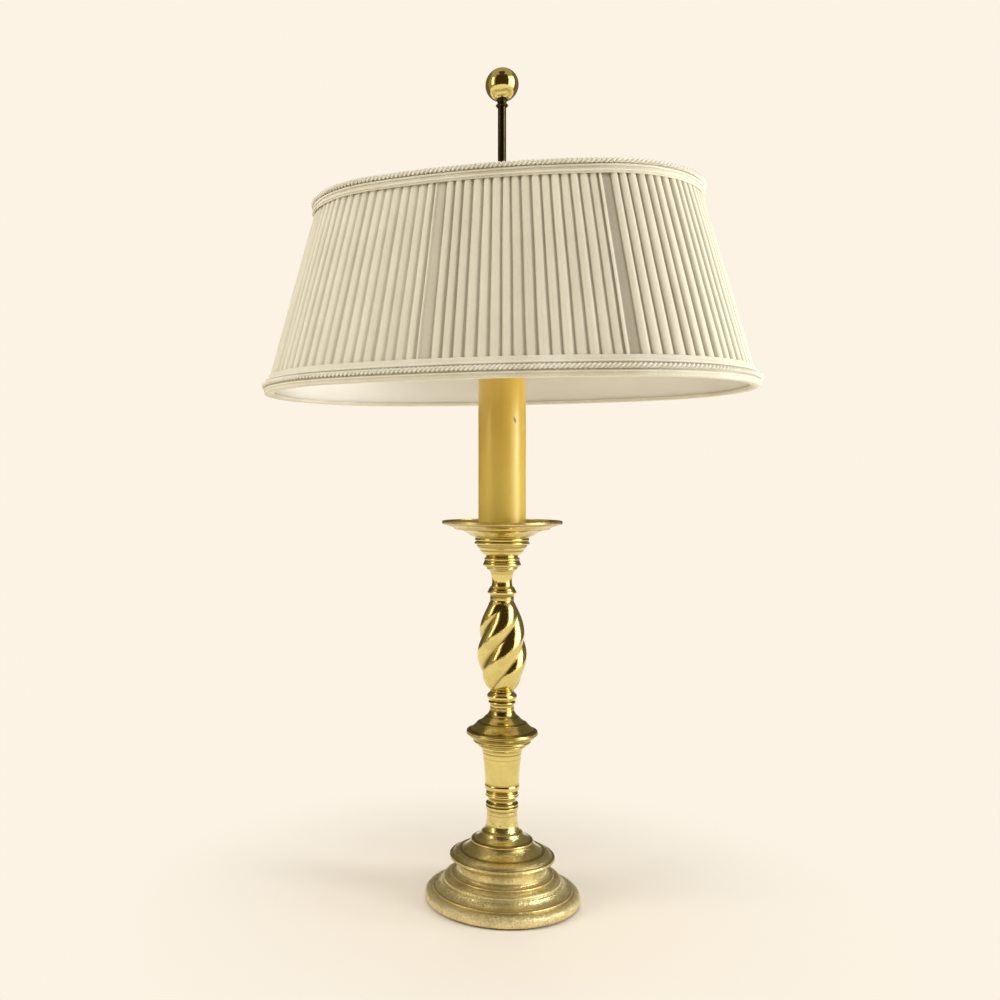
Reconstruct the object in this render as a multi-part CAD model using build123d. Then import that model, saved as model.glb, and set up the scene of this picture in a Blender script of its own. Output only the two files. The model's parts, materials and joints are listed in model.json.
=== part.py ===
from build123d import *
from math import atan2, cos, pi, sin, sqrt
import os

# Candlestick lamp: a turned and cast brass stick with a swirl knop, an imitation candle, two
# inclined lamp holders on a cluster, and an oval pleated shade that slides on a rod with a ball
# finial.  Millimetres, +Z up, +X along the shade's long axis, -Y to the front.
# The origin lies on the table under the middle of the foot.

os.makedirs("parts", exist_ok=True)

# ---------------------------------------------------------------- driving dimensions
slip = 0.1                      # radial clearance of pieces threaded over the pipe
running = 0.05                  # radial clearance of a shaft that turns or slides in its bore
seat_gap = 0.25                 # clear space between a moving face and the face beside it
cutter_run = 1.0                # how far a cutting form runs past the face it cuts

# foot and what it holds
felt_thickness = 1.5
felt_inset = 2.5                # felt edge behind the foot's rim
foot_radius = 58.9
foot_height = 29.5
foot_wall = 4.0
neck_least_share = 0.59         # neck's least radius and its lip as shares of the foot's radius
neck_lip_share = 0.60
foot_boss_radius = 10.0
ballast_clearance = 1.0         # ballast edge inside the neck
ballast_thickness = 7.0
washer_radius = 12.0
washer_thickness = 1.6
nut_across_flats = 14.0
nut_thickness = 4.5
pipe_above_felt = 2.5
bushing_height = 26.2           # centre of the cord hole above the table
bushing_bore_radius = 2.6
bushing_wall = 0.9
bushing_stub = 1.5              # bushing's length inside the neck
bushing_flange = 0.4            # flange edge beyond the bushing's barrel
bushing_flange_thickness = 1.2

# turned stem, from the foot up: height and largest radius of each piece
dish_height = 41.4
dish_radius = 40.0
lower_collar_height = 11.8
lower_collar_radius = 12.3
vase_height = 34.4
vase_radius = 16.4
bell_height = 30.0
bell_radius = 27.2
lower_reel_height = 11.9
lower_reel_radius = 10.5
knop_height = 70.1
knop_radius = 19.0
knop_neck_radius = 9.0
knop_neck_height = 1.4
knop_lobes = 4
knop_lead = 75.0                # height of one full turn of a lobe
knop_groove = 0.20              # depth of the grooves as a share of the radius
knop_belly = 0.85               # below 1 sets the belly above the middle
knop_fullness = 0.70            # below 1 fills the ends
knop_sections = 15
knop_end = 0.004                # share of the swirl left to the necks at either end
knop_lap = 0.4                  # neck's length inside the swirl
upper_reel_height = 24.3
upper_reel_radius = 11.4
capital_height = 10.0
capital_radius = 13.7
cup_height = 13.1
cup_radius = 20.4
pan_height = 13.4
pan_radius = 45.8
pan_floor_share = 0.91
pan_spigot_height = 6.0

# hollow pipe that clamps the stem, and the imitation candle
pipe_radius = 5.0
pipe_bore_radius = 3.7
pipe_below_nut = 1.0
pipe_in_cluster = 6.0
candle_radius = 18.1
candle_wall = 1.1
candle_height = 113.8
cap_thickness = 2.0
cap_spigot_height = 4.0
locknut_thickness = 4.0

# two-light cluster
cluster_height = 24.0
cluster_radius = 14.0
cluster_cap_height = 7.0
cluster_cap_radius = 6.2
socket_tilt = 50.0              # lean of each lamp holder from the vertical, degrees
arm_radius = 4.9
arm_bore_radius = 3.5
arm_start = 10.0                # distances along the holder's axis from the cluster's centre
arm_grip = 3.0                  # length of arm held in the holder's cap
cap_start = 24.0
cap_length = 12.0
cap_neck_wall = 2.2             # wall of the cap where it takes the arm
cap_neck_flare = 0.8
cap_rim = 4.5                   # straight wall of the cap below the shell's edge
cap_lap = 2.0                   # cap's rim inside the shell
shell_radius = 15.0
shell_length = 28.0
shell_wall = 0.8
lip_radius = 0.8                # bead and rolled lip of the shell
insert_length = 25.0
contact_bore_radius = 7.0
contact_bore_depth = 18.0
contact_hole = 0.3
bulb_base_radius = 6.8
bulb_base_length = 19.0
bulb_neck_radius = 7.6
bulb_radius = 19.0
bulb_wall = 0.8
bulb_neck_length = 8.0
knob_along = 10.0               # knob axis above the shell's lower edge
knob_stem_radius = 1.9
knob_stem_grip = 6.0
knob_stem_free = 4.0
knob_radius = 6.5
knob_length = 8.0
knob_edge = 1.2                 # rounding of the knob's outer edge
knob_window = 0.7               # gap round the stem in the shell
knob_flutes = 10
flute_radius = 0.9

# rod and finial
rod_radius = 3.175
rod_grip = 8.0                  # rod held in the cluster, and in the ball
finial_height = 639.5
ball_radius = 12.7
finial_collar_radius = 4.3
finial_collar_height = 5.6
ball_seat_radius = 5.2

# slide collar and thumb screw
collar_radius = 8.0
collar_height = 20.0
spigot_radius = 5.0
spigot_height = 7.0
collar_nut_radius = 7.6
screw_drop = 10.0               # screw axis below the collar's shoulder
screw_radius = 2.0
screw_clear_of_rod = 0.3
screw_free = 3.0
screw_neck_wall = 1.2
screw_neck_length = 3.0
key_width = 13.0
key_length = 11.0
key_thickness = 2.6
key_sunk = 1.0                  # key's foot inside the screw's neck
key_roundness = 0.42            # corner radius as a share of the key's lesser side

# shade, measured on the inner face of its pleated cover
shade_bottom = 389.6
shade_height = 149.5
bottom_half_length = 184.5
bottom_half_depth = 119.5
top_half_length = 143.0
top_half_depth = 88.0
oval_fullness = 0.92            # radius of the oval's ends as a share of its half depth
panels = 7
pleats_per_panel = 17
first_seam = 0.148              # share of the girth from the +X end, by the front, to the first seam
pleat_valley = 0.4
pleat_crest = 2.1
pleat_flat = 0.56               # level top of a fold as a share of its pitch
ring_wire_radius = 1.3
rib_wire_radius = 1.0
wire_gap = 0.2                  # between the frame's wires and the cloth
rib_gap = 0.5                   # between the ribs and the cloth
lining_thickness = 0.8
edge_turn = 0.4                 # trim beyond the edges of the cover
band_gap = 0.1                  # between the folds and the band
band_thickness = 0.75
bottom_band_height = 14.3
top_band_height = 10.5
trim_gap = 0.15                 # between the band and what is laid on it
rope_radius = 1.95
bottom_rope_rise = 6.7          # centre of the rope above the trim's lower edge
top_rope_drop = 2.0             # centre of the rope below the trim's upper edge
bottom_cord_places = ((9.9, 0.9), (3.4, 0.7))   # rise of each cord's centre, and its radius
top_cord_places = ((5.0, 0.75), (8.6, 0.65))    # drop of each cord's centre, and its radius
hub_radius = 10.0
hub_thickness = 3.6
arm_wire_radius = 1.3
arm_level_length = 14.0         # level stretch beside the hub
arm_rise_length = 18.0
arm_bend_radius = 8.0
hub_drop = 13.0                 # hub's mid plane below the shade's top edge

# ---------------------------------------------------------------- places up the lamp
foot_base = felt_thickness
dish_base = foot_base + foot_height
lower_collar_base = dish_base + dish_height
vase_base = lower_collar_base + lower_collar_height
bell_base = vase_base + vase_height
lower_reel_base = bell_base + bell_height
knop_base = lower_reel_base + lower_reel_height
upper_reel_base = knop_base + knop_height
capital_base = upper_reel_base + upper_reel_height
cup_base = capital_base + capital_height
pan_base = cup_base + cup_height
candle_floor = pan_base + pan_floor_share * pan_height
candle_top = candle_floor + candle_height
locknut_base = candle_top + cap_thickness
cluster_base = locknut_base + locknut_thickness
cluster_centre = cluster_base + cluster_height / 2
cluster_top = cluster_base + cluster_height
stem_bore = pipe_radius + slip

shade_top = shade_bottom + shade_height
hub_middle = shade_top - hub_drop
shoulder = hub_middle - hub_thickness / 2 - seat_gap
ball_centre = finial_height - ball_radius
ball_seat = ball_centre - sqrt(ball_radius**2 - ball_seat_radius**2)
shell_start = cap_start + cap_length
knob_place = shell_start + knob_along
glass_start = shell_start + insert_length + 2 * lip_radius

pieces = {}


# ---------------------------------------------------------------- shared forms
def ring_point(radius, height):
    return Vector(radius, 0, height)


def outline_edges(points, bulges):
    """Lines and arcs through points; a bulge is the arc's rise as a share of its chord."""
    edges = []
    for start, end, bulge in zip(points, points[1:], bulges[1:]):
        if bulge == 0:
            edges.append(Line(start, end))
            continue
        run = end - start
        outward = Vector(run.Z, 0, -run.X)
        edges.append(ThreePointArc(start, (start + end) * 0.5 + outward * bulge, end))
    return edges


def spun(points, bulges):
    """Solid of revolution about +Z of a closed outline in the XZ plane."""
    edges = outline_edges(list(points) + [points[0]], list(bulges) + [0])
    return revolve(make_face(edges), Axis.Z, 360)


def turned(base, height, radius, stations, bore):
    """Turned piece: stations are (share of radius, share of height, bulge), from the bottom up."""
    points = [ring_point(share * radius, base + rise * height) for share, rise, _ in stations]
    bulges = [bulge for _, _, bulge in stations]
    points += [ring_point(bore, points[-1].Z), ring_point(bore, points[0].Z)]
    return spun(points, bulges + [0, 0])


def tube(outer, inner, base, height):
    """Plain tube, or a disc where inner is zero."""
    body = Pos(0, 0, base) * extrude(Circle(outer), height)
    if inner > 0:
        body -= Pos(0, 0, base - cutter_run) * extrude(Circle(inner), height + 2 * cutter_run)
    return body


def hexagon_nut(across_flats, bore, base, height):
    body = Pos(0, 0, base) * extrude(RegularPolygon(across_flats / sqrt(3), 6), height)
    return body - Pos(0, 0, base - cutter_run) * extrude(Circle(bore), height + 2 * cutter_run)


# ---------------------------------------------------------------- foot
def make_foot():
    """Hollow casting with a plain rim, a cove, a quarter round and a waisted neck."""
    outer = [
        (1.000, 0.00, 0), (1.000, 0.12, 0), (0.945, 0.25, 0.20), (0.900, 0.27, 0),
        (0.890, 0.33, 0.30), (0.875, 0.34, 0), (0.785, 0.46, -0.12), (0.762, 0.50, 0),
        (0.762, 0.54, 0), (0.680, 0.61, 0.16), (0.660, 0.62, 0), (0.655, 0.67, 0.30),
        (neck_lip_share, 0.70, -0.10), (neck_least_share, 0.96, -0.10), (0.598, 1.00, 0),
    ]
    solid = turned(foot_base, foot_height, foot_radius, outer, stem_bore)
    rim_inside = foot_radius - foot_wall
    hollow_points = [
        ring_point(rim_inside, foot_base - cutter_run),
        ring_point(rim_inside, foot_base + 0.12 * foot_height),
        ring_point(neck_inside + foot_wall, foot_base + 0.45 * foot_height),
        ring_point(neck_inside, foot_base + 0.60 * foot_height), ring_point(neck_inside, plate_underside),
        ring_point(foot_boss_radius, plate_underside), ring_point(foot_boss_radius, boss_end),
        ring_point(0, boss_end), ring_point(0, foot_base - cutter_run),
    ]
    hollow = spun(hollow_points, [0] * len(hollow_points))
    return solid - hollow - cord_hole(bushing_bore_radius + bushing_wall)


def cord_hole(radius):
    """Round bar through the rear of the neck, where the cord enters."""
    return Pos(0, neck_inside - foot_wall, bushing_height) * Rot(-90, 0, 0) * extrude(
        Circle(radius), 4 * foot_wall)


def make_bushing():
    """Flanged bushing pushed through the neck from behind."""
    barrel = bushing_bore_radius + bushing_wall
    outside = neck_lip_share * foot_radius
    inside = neck_inside - bushing_stub
    length = outside + bushing_flange_thickness - inside
    place = Pos(0, inside, bushing_height) * Rot(-90, 0, 0)
    body = place * extrude(Circle(barrel), length)
    body += Pos(0, outside, bushing_height) * Rot(-90, 0, 0) * extrude(
        Circle(barrel + bushing_flange), bushing_flange_thickness)
    return body - place * extrude(Circle(bushing_bore_radius), length)


neck_inside = neck_least_share * foot_radius - foot_wall
plate_underside = foot_base + foot_height - foot_wall
nut_base = foot_base + pipe_above_felt + pipe_below_nut
washer_base = nut_base + nut_thickness
ballast_base = washer_base + washer_thickness
boss_end = ballast_base + ballast_thickness
pipe_bottom = nut_base - pipe_below_nut

pieces["felt_pad"] = tube(foot_radius - felt_inset, 0, 0, felt_thickness)
pieces["foot"] = make_foot()
pieces["cord_bushing"] = make_bushing()
pieces["ballast"] = tube(neck_inside - ballast_clearance, stem_bore, ballast_base, ballast_thickness)
pieces["foot_washer"] = tube(washer_radius, stem_bore, washer_base, washer_thickness)
pieces["foot_nut"] = hexagon_nut(nut_across_flats, pipe_radius, nut_base, nut_thickness)

# ---------------------------------------------------------------- turned stem
pieces["base_dish"] = turned(dish_base, dish_height, dish_radius, [
    (0.880, 0.00, 0), (0.900, 0.035, 0.20), (0.985, 0.045, 0), (1.000, 0.075, 0.35),
    (0.975, 0.105, 0.30), (0.955, 0.100, 0), (0.830, 0.185, 0.08), (0.800, 0.180, 0),
    (0.580, 0.350, -0.06), (0.575, 0.390, 0.35), (0.540, 0.400, 0), (0.390, 0.530, -0.10),
    (0.300, 0.700, -0.12), (0.290, 0.900, -0.02), (0.310, 0.950, -0.20), (0.310, 1.000, 0),
], stem_bore)
pieces["lower_collar"] = turned(lower_collar_base, lower_collar_height, lower_collar_radius, [
    (0.900, 0.00, 0), (0.960, 0.08, 0.25), (0.970, 0.22, 0.35), (0.900, 0.28, 0),
    (0.880, 0.50, -0.20), (0.960, 0.60, -0.10), (1.000, 0.78, 0.30), (0.920, 0.94, 0.20),
    (0.890, 1.00, 0),
], stem_bore)
pieces["tapered_vase"] = turned(vase_base, vase_height, vase_radius, [
    (0.690, 0.00, 0), (0.790, 0.15, 0.22), (0.885, 0.72, -0.015), (0.930, 0.88, -0.05),
    (1.000, 0.96, -0.15), (1.000, 1.00, 0),
], stem_bore)
pieces["bell_flange"] = turned(bell_base, bell_height, bell_radius, [
    (0.640, 0.00, 0), (0.680, 0.045, 0.30), (0.680, 0.075, 0), (0.780, 0.090, 0),
    (0.800, 0.150, 0.30), (0.800, 0.190, 0), (0.940, 0.250, -0.08), (0.985, 0.300, 0),
    (1.000, 0.350, 0.30), (0.960, 0.400, 0.25), (0.935, 0.410, 0), (0.700, 0.590, -0.05),
    (0.480, 0.740, -0.06), (0.350, 0.900, -0.10), (0.340, 1.000, 0),
], stem_bore)
pieces["lower_reel"] = turned(lower_reel_base, lower_reel_height, lower_reel_radius, [
    (0.860, 0.00, 0), (0.860, 0.18, 0), (0.930, 0.20, 0), (0.930, 0.34, 0.35),
    (0.870, 0.38, 0), (1.000, 0.50, 0.10), (1.000, 0.82, 0.25), (0.880, 0.90, 0.10),
    (0.860, 1.00, 0),
], stem_bore)


def knop_profile(share):
    """Outer radius of the knop's lobes at a share of the swirl's height."""
    swell = sin(pi * share**knop_belly) ** knop_fullness
    return knop_neck_radius + (knop_radius - knop_neck_radius) * swell


def knop_section(share):
    """Closed section of round lobes that meet in sharp grooves, turned by the lead."""
    swirl_height = knop_height - 2 * knop_neck_height
    height = knop_base + knop_neck_height + share * swirl_height
    peak = knop_profile(share)
    valley = peak * (1 - knop_groove * sin(pi * share) ** 0.5)
    turn = 2 * pi * share * swirl_height / knop_lead
    step = 2 * pi / knop_lobes

    def around(radius, angle):
        return Vector(radius * cos(angle), radius * sin(angle), height)

    arcs = []
    for lobe in range(knop_lobes):
        angle = turn + lobe * step
        arcs.append(ThreePointArc(
            around(valley, angle - step / 2), around(peak, angle), around(valley, angle + step / 2)))
    return Wire(arcs)


def make_knop():
    """Swirl knop: round lobes that wind up an egg-shaped body between two short necks."""
    shares = [index / (knop_sections - 1) for index in range(knop_sections)]
    shares[0], shares[-1] = knop_end, 1 - knop_end
    swirl = Solid.make_loft([knop_section(share) for share in shares])
    neck = knop_neck_height + knop_lap
    low = tube(knop_neck_radius, 0, knop_base, neck)
    high = tube(knop_neck_radius, 0, upper_reel_base - neck, neck)
    return swirl + low + high - tube(stem_bore, 0, knop_base - cutter_run, knop_height + 2 * cutter_run)


pieces["swirl_knop"] = make_knop()
pieces["upper_reel"] = turned(upper_reel_base, upper_reel_height, upper_reel_radius, [
    (0.800, 0.00, 0), (0.780, 0.12, 0), (0.840, 0.17, 0), (0.900, 0.30, 0.35),
    (0.790, 0.40, 0.05), (0.700, 0.44, 0), (0.670, 0.66, -0.04), (0.780, 0.86, -0.05),
    (0.960, 0.95, -0.15), (1.000, 1.00, 0.20),
], stem_bore)
pieces["capital_ring"] = turned(capital_base, capital_height, capital_radius, [
    (0.820, 0.00, 0), (0.860, 0.10, 0.25), (0.960, 0.14, 0), (1.000, 0.42, 0.35),
    (0.940, 0.62, 0.15), (0.940, 0.80, 0.30), (0.880, 0.84, 0), (0.880, 1.00, 0),
], stem_bore)
pieces["candle_cup"] = turned(cup_base, cup_height, cup_radius, [
    (0.640, 0.00, 0), (0.830, 0.34, 0.10), (0.940, 0.56, 0.06), (0.940, 0.62, 0),
    (1.000, 0.64, 0), (1.010, 0.78, 0.30), (0.965, 0.80, 0), (0.965, 0.84, 0),
    (1.000, 0.86, 0), (1.000, 1.00, 0.12),
], stem_bore)
pan_spigot_radius = candle_radius - candle_wall - slip
pieces["drip_pan"] = turned(pan_base, pan_height, pan_radius, [
    (0.440, 0.00, 0), (0.520, 0.14, -0.12), (0.760, 0.50, -0.10), (0.790, 0.52, 0),
    (0.800, 0.60, 0), (0.975, 0.79, -0.03), (0.995, 0.84, 0.20), (1.000, 0.92, 0.20),
    (0.985, 1.00, 0.30), (0.955, 0.99, 0.10), (0.935, pan_floor_share, -0.15),
    (pan_spigot_radius / pan_radius, pan_floor_share, 0),
    (pan_spigot_radius / pan_radius, pan_floor_share + pan_spigot_height / pan_height, 0),
], stem_bore)

# ---------------------------------------------------------------- pipe and candle
pieces["threaded_pipe"] = tube(pipe_radius, pipe_bore_radius, pipe_bottom,
                               cluster_base + pipe_in_cluster - pipe_bottom)
pieces["candle_sleeve"] = tube(candle_radius, candle_radius - candle_wall, candle_floor, candle_height)
pieces["sleeve_cap"] = (tube(candle_radius, stem_bore, candle_top, cap_thickness)
                        + tube(candle_radius - candle_wall - slip, stem_bore,
                               candle_top - cap_spigot_height, cap_spigot_height))
pieces["pipe_locknut"] = hexagon_nut(nut_across_flats, pipe_radius, locknut_base, locknut_thickness)


# ---------------------------------------------------------------- two-light cluster
def holder_place(side):
    """Frame of a lamp holder: its axis leans to one side (+1 right, -1 left)."""
    return Pos(0, 0, cluster_centre) * Rot(0, side * socket_tilt, 0)


def make_cluster():
    body = turned(cluster_base, cluster_height, cluster_radius, [
        (0.580, 0.00, 0), (0.600, 0.10, 0.2), (0.720, 0.12, 0), (1.000, 0.42, 0.12),
        (1.000, 0.60, 0.05), (0.760, 0.88, 0.14), (0.600, 0.92, 0), (0.600, 1.00, 0),
    ], rod_radius)
    body -= tube(pipe_radius, 0, cluster_base - cutter_run, pipe_in_cluster + cutter_run)
    for side in (-1, 1):
        body -= holder_place(side) * tube(arm_radius, 0, arm_start, cluster_radius)
    return body


def socket_cap_form():
    """Pressed cup that screws on the arm and closes the shell from below."""
    end = cap_start + cap_length
    outer = shell_radius - shell_wall - slip / 2
    inner = outer - shell_wall
    neck = arm_radius + cap_neck_wall
    points = [
        ring_point(arm_radius, cap_start), ring_point(neck, cap_start),
        ring_point(neck + cap_neck_flare, cap_start + arm_grip), ring_point(outer, end - cap_rim),
        ring_point(outer, end + cap_lap), ring_point(inner, end + cap_lap),
        ring_point(inner, end - cap_rim + shell_wall / 2),
        ring_point(neck, cap_start + arm_grip + shell_wall),
        ring_point(arm_radius, cap_start + arm_grip + shell_wall),
    ]
    return spun(points, [0, 0, 0.1, 0.22, 0, 0, 0, -0.18, 0])


def socket_shell_form():
    """Thin tube with a bead above the cap's edge and a rolled lip at its mouth."""
    end = shell_start + shell_length
    inner = shell_radius - shell_wall
    points = [
        ring_point(inner, shell_start), ring_point(shell_radius, shell_start),
        ring_point(shell_radius, shell_start + cap_lap),
        ring_point(shell_radius, shell_start + cap_lap + 2 * lip_radius),
        ring_point(shell_radius, end - 2 * lip_radius), ring_point(shell_radius, end),
        ring_point(inner, end),
    ]
    shell = spun(points, [0, 0, 0, 0.45, 0, 0.45, 0])
    window = knob_stem_radius + knob_window
    return shell - Pos(0, -shell_radius / 2, knob_place) * Rot(90, 0, 0) * extrude(
        Circle(window), shell_radius)


def socket_insert_form():
    """Moulded body with the contact bore for the bulb and the bore of the switch stem."""
    base = shell_start + cap_lap + 2 * slip
    top = shell_start + insert_length
    radius = shell_radius - shell_wall - slip
    body = tube(radius, 0, base, top - base)
    body -= tube(contact_bore_radius, 0, top - contact_bore_depth, contact_bore_depth + cutter_run)
    bore_floor = radius - knob_stem_grip
    return body - Pos(0, -bore_floor + seat_gap, knob_place) * Rot(90, 0, 0) * extrude(
        Circle(knob_stem_radius + running), radius)


def bulb_base_form():
    """Screw cap of the bulb, with its contact button and the rim that grips the glass."""
    top = glass_start
    base = top - bulb_base_length
    return turned(base, bulb_base_length, bulb_base_radius, [
        (0.30, 0.00, 0), (0.45, 0.08, 0.2), (0.95, 0.16, 0), (1.00, 0.22, 0),
        (1.00, 0.86, 0), (1.02, 0.88, 0), (1.02, 1.00, 0),
    ], contact_hole)


def bulb_glass_form():
    """Blown globe with an open neck."""
    ball = glass_start + bulb_neck_length + sqrt(bulb_radius**2 - bulb_neck_radius**2)

    def envelope(neck, radius, low):
        shoulder_height = ball - sqrt(radius**2 - neck**2)
        points = [
            ring_point(0, low), ring_point(neck, low), ring_point(neck, shoulder_height),
            ring_point(0, ball + radius),
        ]
        edges = [Line(points[0], points[1]), Line(points[1], points[2]),
                 ThreePointArc(points[2], ring_point(radius, ball), points[3]),
                 Line(points[3], points[0])]
        return revolve(make_face(edges), Axis.Z, 360)

    return (envelope(bulb_neck_radius, bulb_radius, glass_start)
            - envelope(bulb_neck_radius - bulb_wall, bulb_radius - bulb_wall, glass_start - cutter_run))


def switch_knob_form():
    """Fluted turn knob on its stem, pointing to the front."""
    insert_radius = shell_radius - shell_wall - slip
    start = insert_radius - knob_stem_grip
    stem_length = knob_stem_grip + shell_wall + slip + knob_stem_free
    knob = extrude(Circle(knob_radius), knob_length)
    knob = fillet(knob.edges().group_by(Axis.Z)[-1], knob_edge)
    for index in range(knob_flutes):
        angle = 360 / knob_flutes * index
        knob -= Rot(0, 0, angle) * Pos(knob_radius, 0, -cutter_run) * extrude(
            Circle(flute_radius), knob_length + 2 * cutter_run)
    body = extrude(Circle(knob_stem_radius), stem_length) + Pos(0, 0, stem_length) * knob
    return Pos(0, -start, knob_place) * Rot(90, 0, 0) * body


pieces["cluster_body"] = make_cluster()
pieces["cluster_cap"] = turned(cluster_top, cluster_cap_height, cluster_cap_radius, [
    (1.00, 0.00, 0), (1.00, 0.20, 0), (0.62, 0.70, 0.20), (0.55, 0.72, 0), (0.55, 1.00, 0.1),
], rod_radius)
arm_form = tube(arm_radius, arm_bore_radius, arm_start, cap_start + arm_grip - arm_start)
for side, name in ((-1, "left"), (1, "right")):
    place = holder_place(side)
    pieces[name + "_socket_arm"] = place * arm_form
    pieces[name + "_socket_cap"] = place * socket_cap_form()
    pieces[name + "_socket_shell"] = place * socket_shell_form()
    pieces[name + "_socket_insert"] = place * socket_insert_form()
    pieces[name + "_bulb_base"] = place * bulb_base_form()
    pieces[name + "_bulb_glass"] = place * bulb_glass_form()
    pieces[name + "_switch_knob"] = place * switch_knob_form()

# ---------------------------------------------------------------- rod and finial
rod_base = cluster_top - rod_grip
pieces["rod"] = tube(rod_radius, 0, rod_base, ball_seat + rod_grip - rod_base)
pieces["finial_collar"] = turned(ball_seat - finial_collar_height, finial_collar_height,
                                 finial_collar_radius, [
    (0.85, 0.00, 0), (1.00, 0.12, 0.20), (1.00, 0.34, 0.30), (0.84, 0.42, 0),
    (0.84, 0.78, -0.10), (1.05, 1.00, -0.15),
], rod_radius)
ball_cutter = 2 * ball_radius
pieces["finial_ball"] = (Pos(0, 0, ball_centre) * Sphere(ball_radius)
                         - Pos(0, 0, ball_seat - ball_cutter / 2) * Box(ball_cutter, ball_cutter, ball_cutter)
                         - tube(rod_radius, 0, ball_seat - cutter_run, rod_grip + cutter_run))

# ---------------------------------------------------------------- slide collar
collar_base = shoulder - collar_height
screw_height = shoulder - screw_drop
screw_axis = Pos(0, 0, screw_height) * Rot(-90, 0, 0)


def make_slide_collar():
    body = turned(collar_base, collar_height, collar_radius, [
        (0.80, 0.00, 0), (1.00, 0.10, 0.20), (1.00, 0.24, 0), (0.92, 0.28, 0),
        (0.92, 0.72, 0), (1.00, 0.76, 0), (1.00, 1.00, 0.05),
    ], rod_radius + running)
    body += tube(spigot_radius, rod_radius + running, shoulder, spigot_height)
    return body - screw_axis * extrude(Circle(screw_radius + running), collar_radius + cutter_run)


def make_thumb_screw():
    """Screw with a flat key head that locks the collar to the rod from behind."""
    tip = rod_radius + running + screw_clear_of_rod
    neck = collar_radius + screw_free
    body = screw_axis * (Pos(0, 0, tip) * extrude(Circle(screw_radius), neck - tip))
    key = extrude(Rectangle(key_width, key_thickness), key_length)
    key = fillet(key.edges().filter_by(Axis.Y), min(key_width, key_length) * key_roundness)
    body += screw_axis * Pos(0, 0, neck - key_sunk) * key
    return body + screw_axis * Pos(0, 0, neck + key_sunk - screw_neck_length) * extrude(
        Circle(screw_radius + screw_neck_wall), screw_neck_length)


pieces["slide_collar"] = make_slide_collar()
nut_floor = hub_middle + hub_thickness / 2 + seat_gap
pieces["collar_nut"] = tube(collar_nut_radius, spigot_radius, nut_floor,
                            shoulder + spigot_height - nut_floor)
pieces["thumb_screw"] = make_thumb_screw()


# ---------------------------------------------------------------- shade
def half_sizes(height):
    """Half length and half depth of the oval at a height."""
    share = (height - shade_bottom) / shade_height
    return (bottom_half_length + share * (top_half_length - bottom_half_length),
            bottom_half_depth + share * (top_half_depth - bottom_half_depth))


def oval_arcs(height, offset):
    """End and side arc of the four-centred oval: centres, radii and the angle of the end arc."""
    half_length, half_depth = half_sizes(height)
    end_radius = oval_fullness * half_depth
    reach = half_length - end_radius
    side_radius = (reach**2 + half_depth**2 - end_radius**2) / (2 * (half_depth - end_radius))
    drop = side_radius - half_depth
    end_angle = atan2(drop, reach)
    return reach, drop, end_radius + offset, side_radius + offset, end_angle


def oval_wire(height, offset=0.0):
    """Closed oval of four tangent arcs at a height, grown outwards by offset."""
    reach, drop, end_radius, side_radius, end_angle = oval_arcs(height, offset)
    joint_x = reach + end_radius * cos(end_angle)
    joint_y = end_radius * sin(end_angle)

    def at(x, y):
        return Vector(x, y, height)

    return Wire([
        ThreePointArc(at(joint_x, -joint_y), at(reach + end_radius, 0), at(joint_x, joint_y)),
        ThreePointArc(at(joint_x, joint_y), at(0, side_radius - drop), at(-joint_x, joint_y)),
        ThreePointArc(at(-joint_x, joint_y), at(-reach - end_radius, 0), at(-joint_x, -joint_y)),
        ThreePointArc(at(-joint_x, -joint_y), at(0, drop - side_radius), at(joint_x, -joint_y)),
    ])


def oval_point(height, share, offset=0.0):
    """Point on the oval at a share of its girth, from the +X end round by the front."""
    reach, drop, end_radius, side_radius, end_angle = oval_arcs(height, 0.0)
    quarter_end = end_radius * end_angle
    quarter_side = side_radius * (pi / 2 - end_angle)
    quarter = quarter_end + quarter_side
    turn = share % 1.0
    mirror_y = turn > 0.5
    if mirror_y:
        turn = 1.0 - turn
    mirror_x = turn > 0.25
    if mirror_x:
        turn = 0.5 - turn
    run = turn * 4 * quarter
    if run < quarter_end:
        angle = run / end_radius
        centre_x, centre_y, radius = reach, 0.0, end_radius
    else:
        angle = end_angle + (run - quarter_end) / side_radius
        centre_x, centre_y, radius = 0.0, -drop, side_radius
    x = centre_x + (radius + offset) * cos(angle)
    y = centre_y + (radius + offset) * sin(angle)
    return Vector(-x if mirror_x else x, y if mirror_y else -y, height)


def oval_shell(low, high, inner, outer):
    """Thin oval wall that follows the shade's slope, between two offsets."""
    body = Solid.make_loft([oval_wire(low, outer), oval_wire(high, outer)], ruled=True)
    return body - Solid.make_loft(
        [oval_wire(low - cutter_run, inner), oval_wire(high + cutter_run, inner)], ruled=True)


def oval_bar(height, offset, radius):
    """Round bar bent to the oval."""
    path = oval_wire(height, offset)
    start = path @ 0
    section = Plane(origin=start, z_dir=path % 0) * Circle(radius)
    return sweep(section, path)


def pleat_line(height):
    """Outline of the pleats at a height: level folds with a narrow valley between them."""
    count = panels * pleats_per_panel
    rise, fall = 0.5 - pleat_flat / 2, 0.5 + pleat_flat / 2
    points = []
    for pleat in range(count):
        for step, offset in ((0.0, pleat_valley), (rise, pleat_crest), (fall, pleat_crest)):
            points.append(oval_point(height, first_seam + (pleat + step) / count, offset))
    return Wire.make_polygon(points, close=True)


def make_pleats():
    outside = Solid.make_loft([pleat_line(shade_bottom), pleat_line(shade_top)], ruled=True)
    return outside - Solid.make_loft(
        [oval_wire(shade_bottom - cutter_run), oval_wire(shade_top + cutter_run)], ruled=True)


def straight_wire(start, end, radius):
    path = Line(start, end)
    return sweep(Plane(origin=start, z_dir=end - start) * Circle(radius), path)


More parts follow.
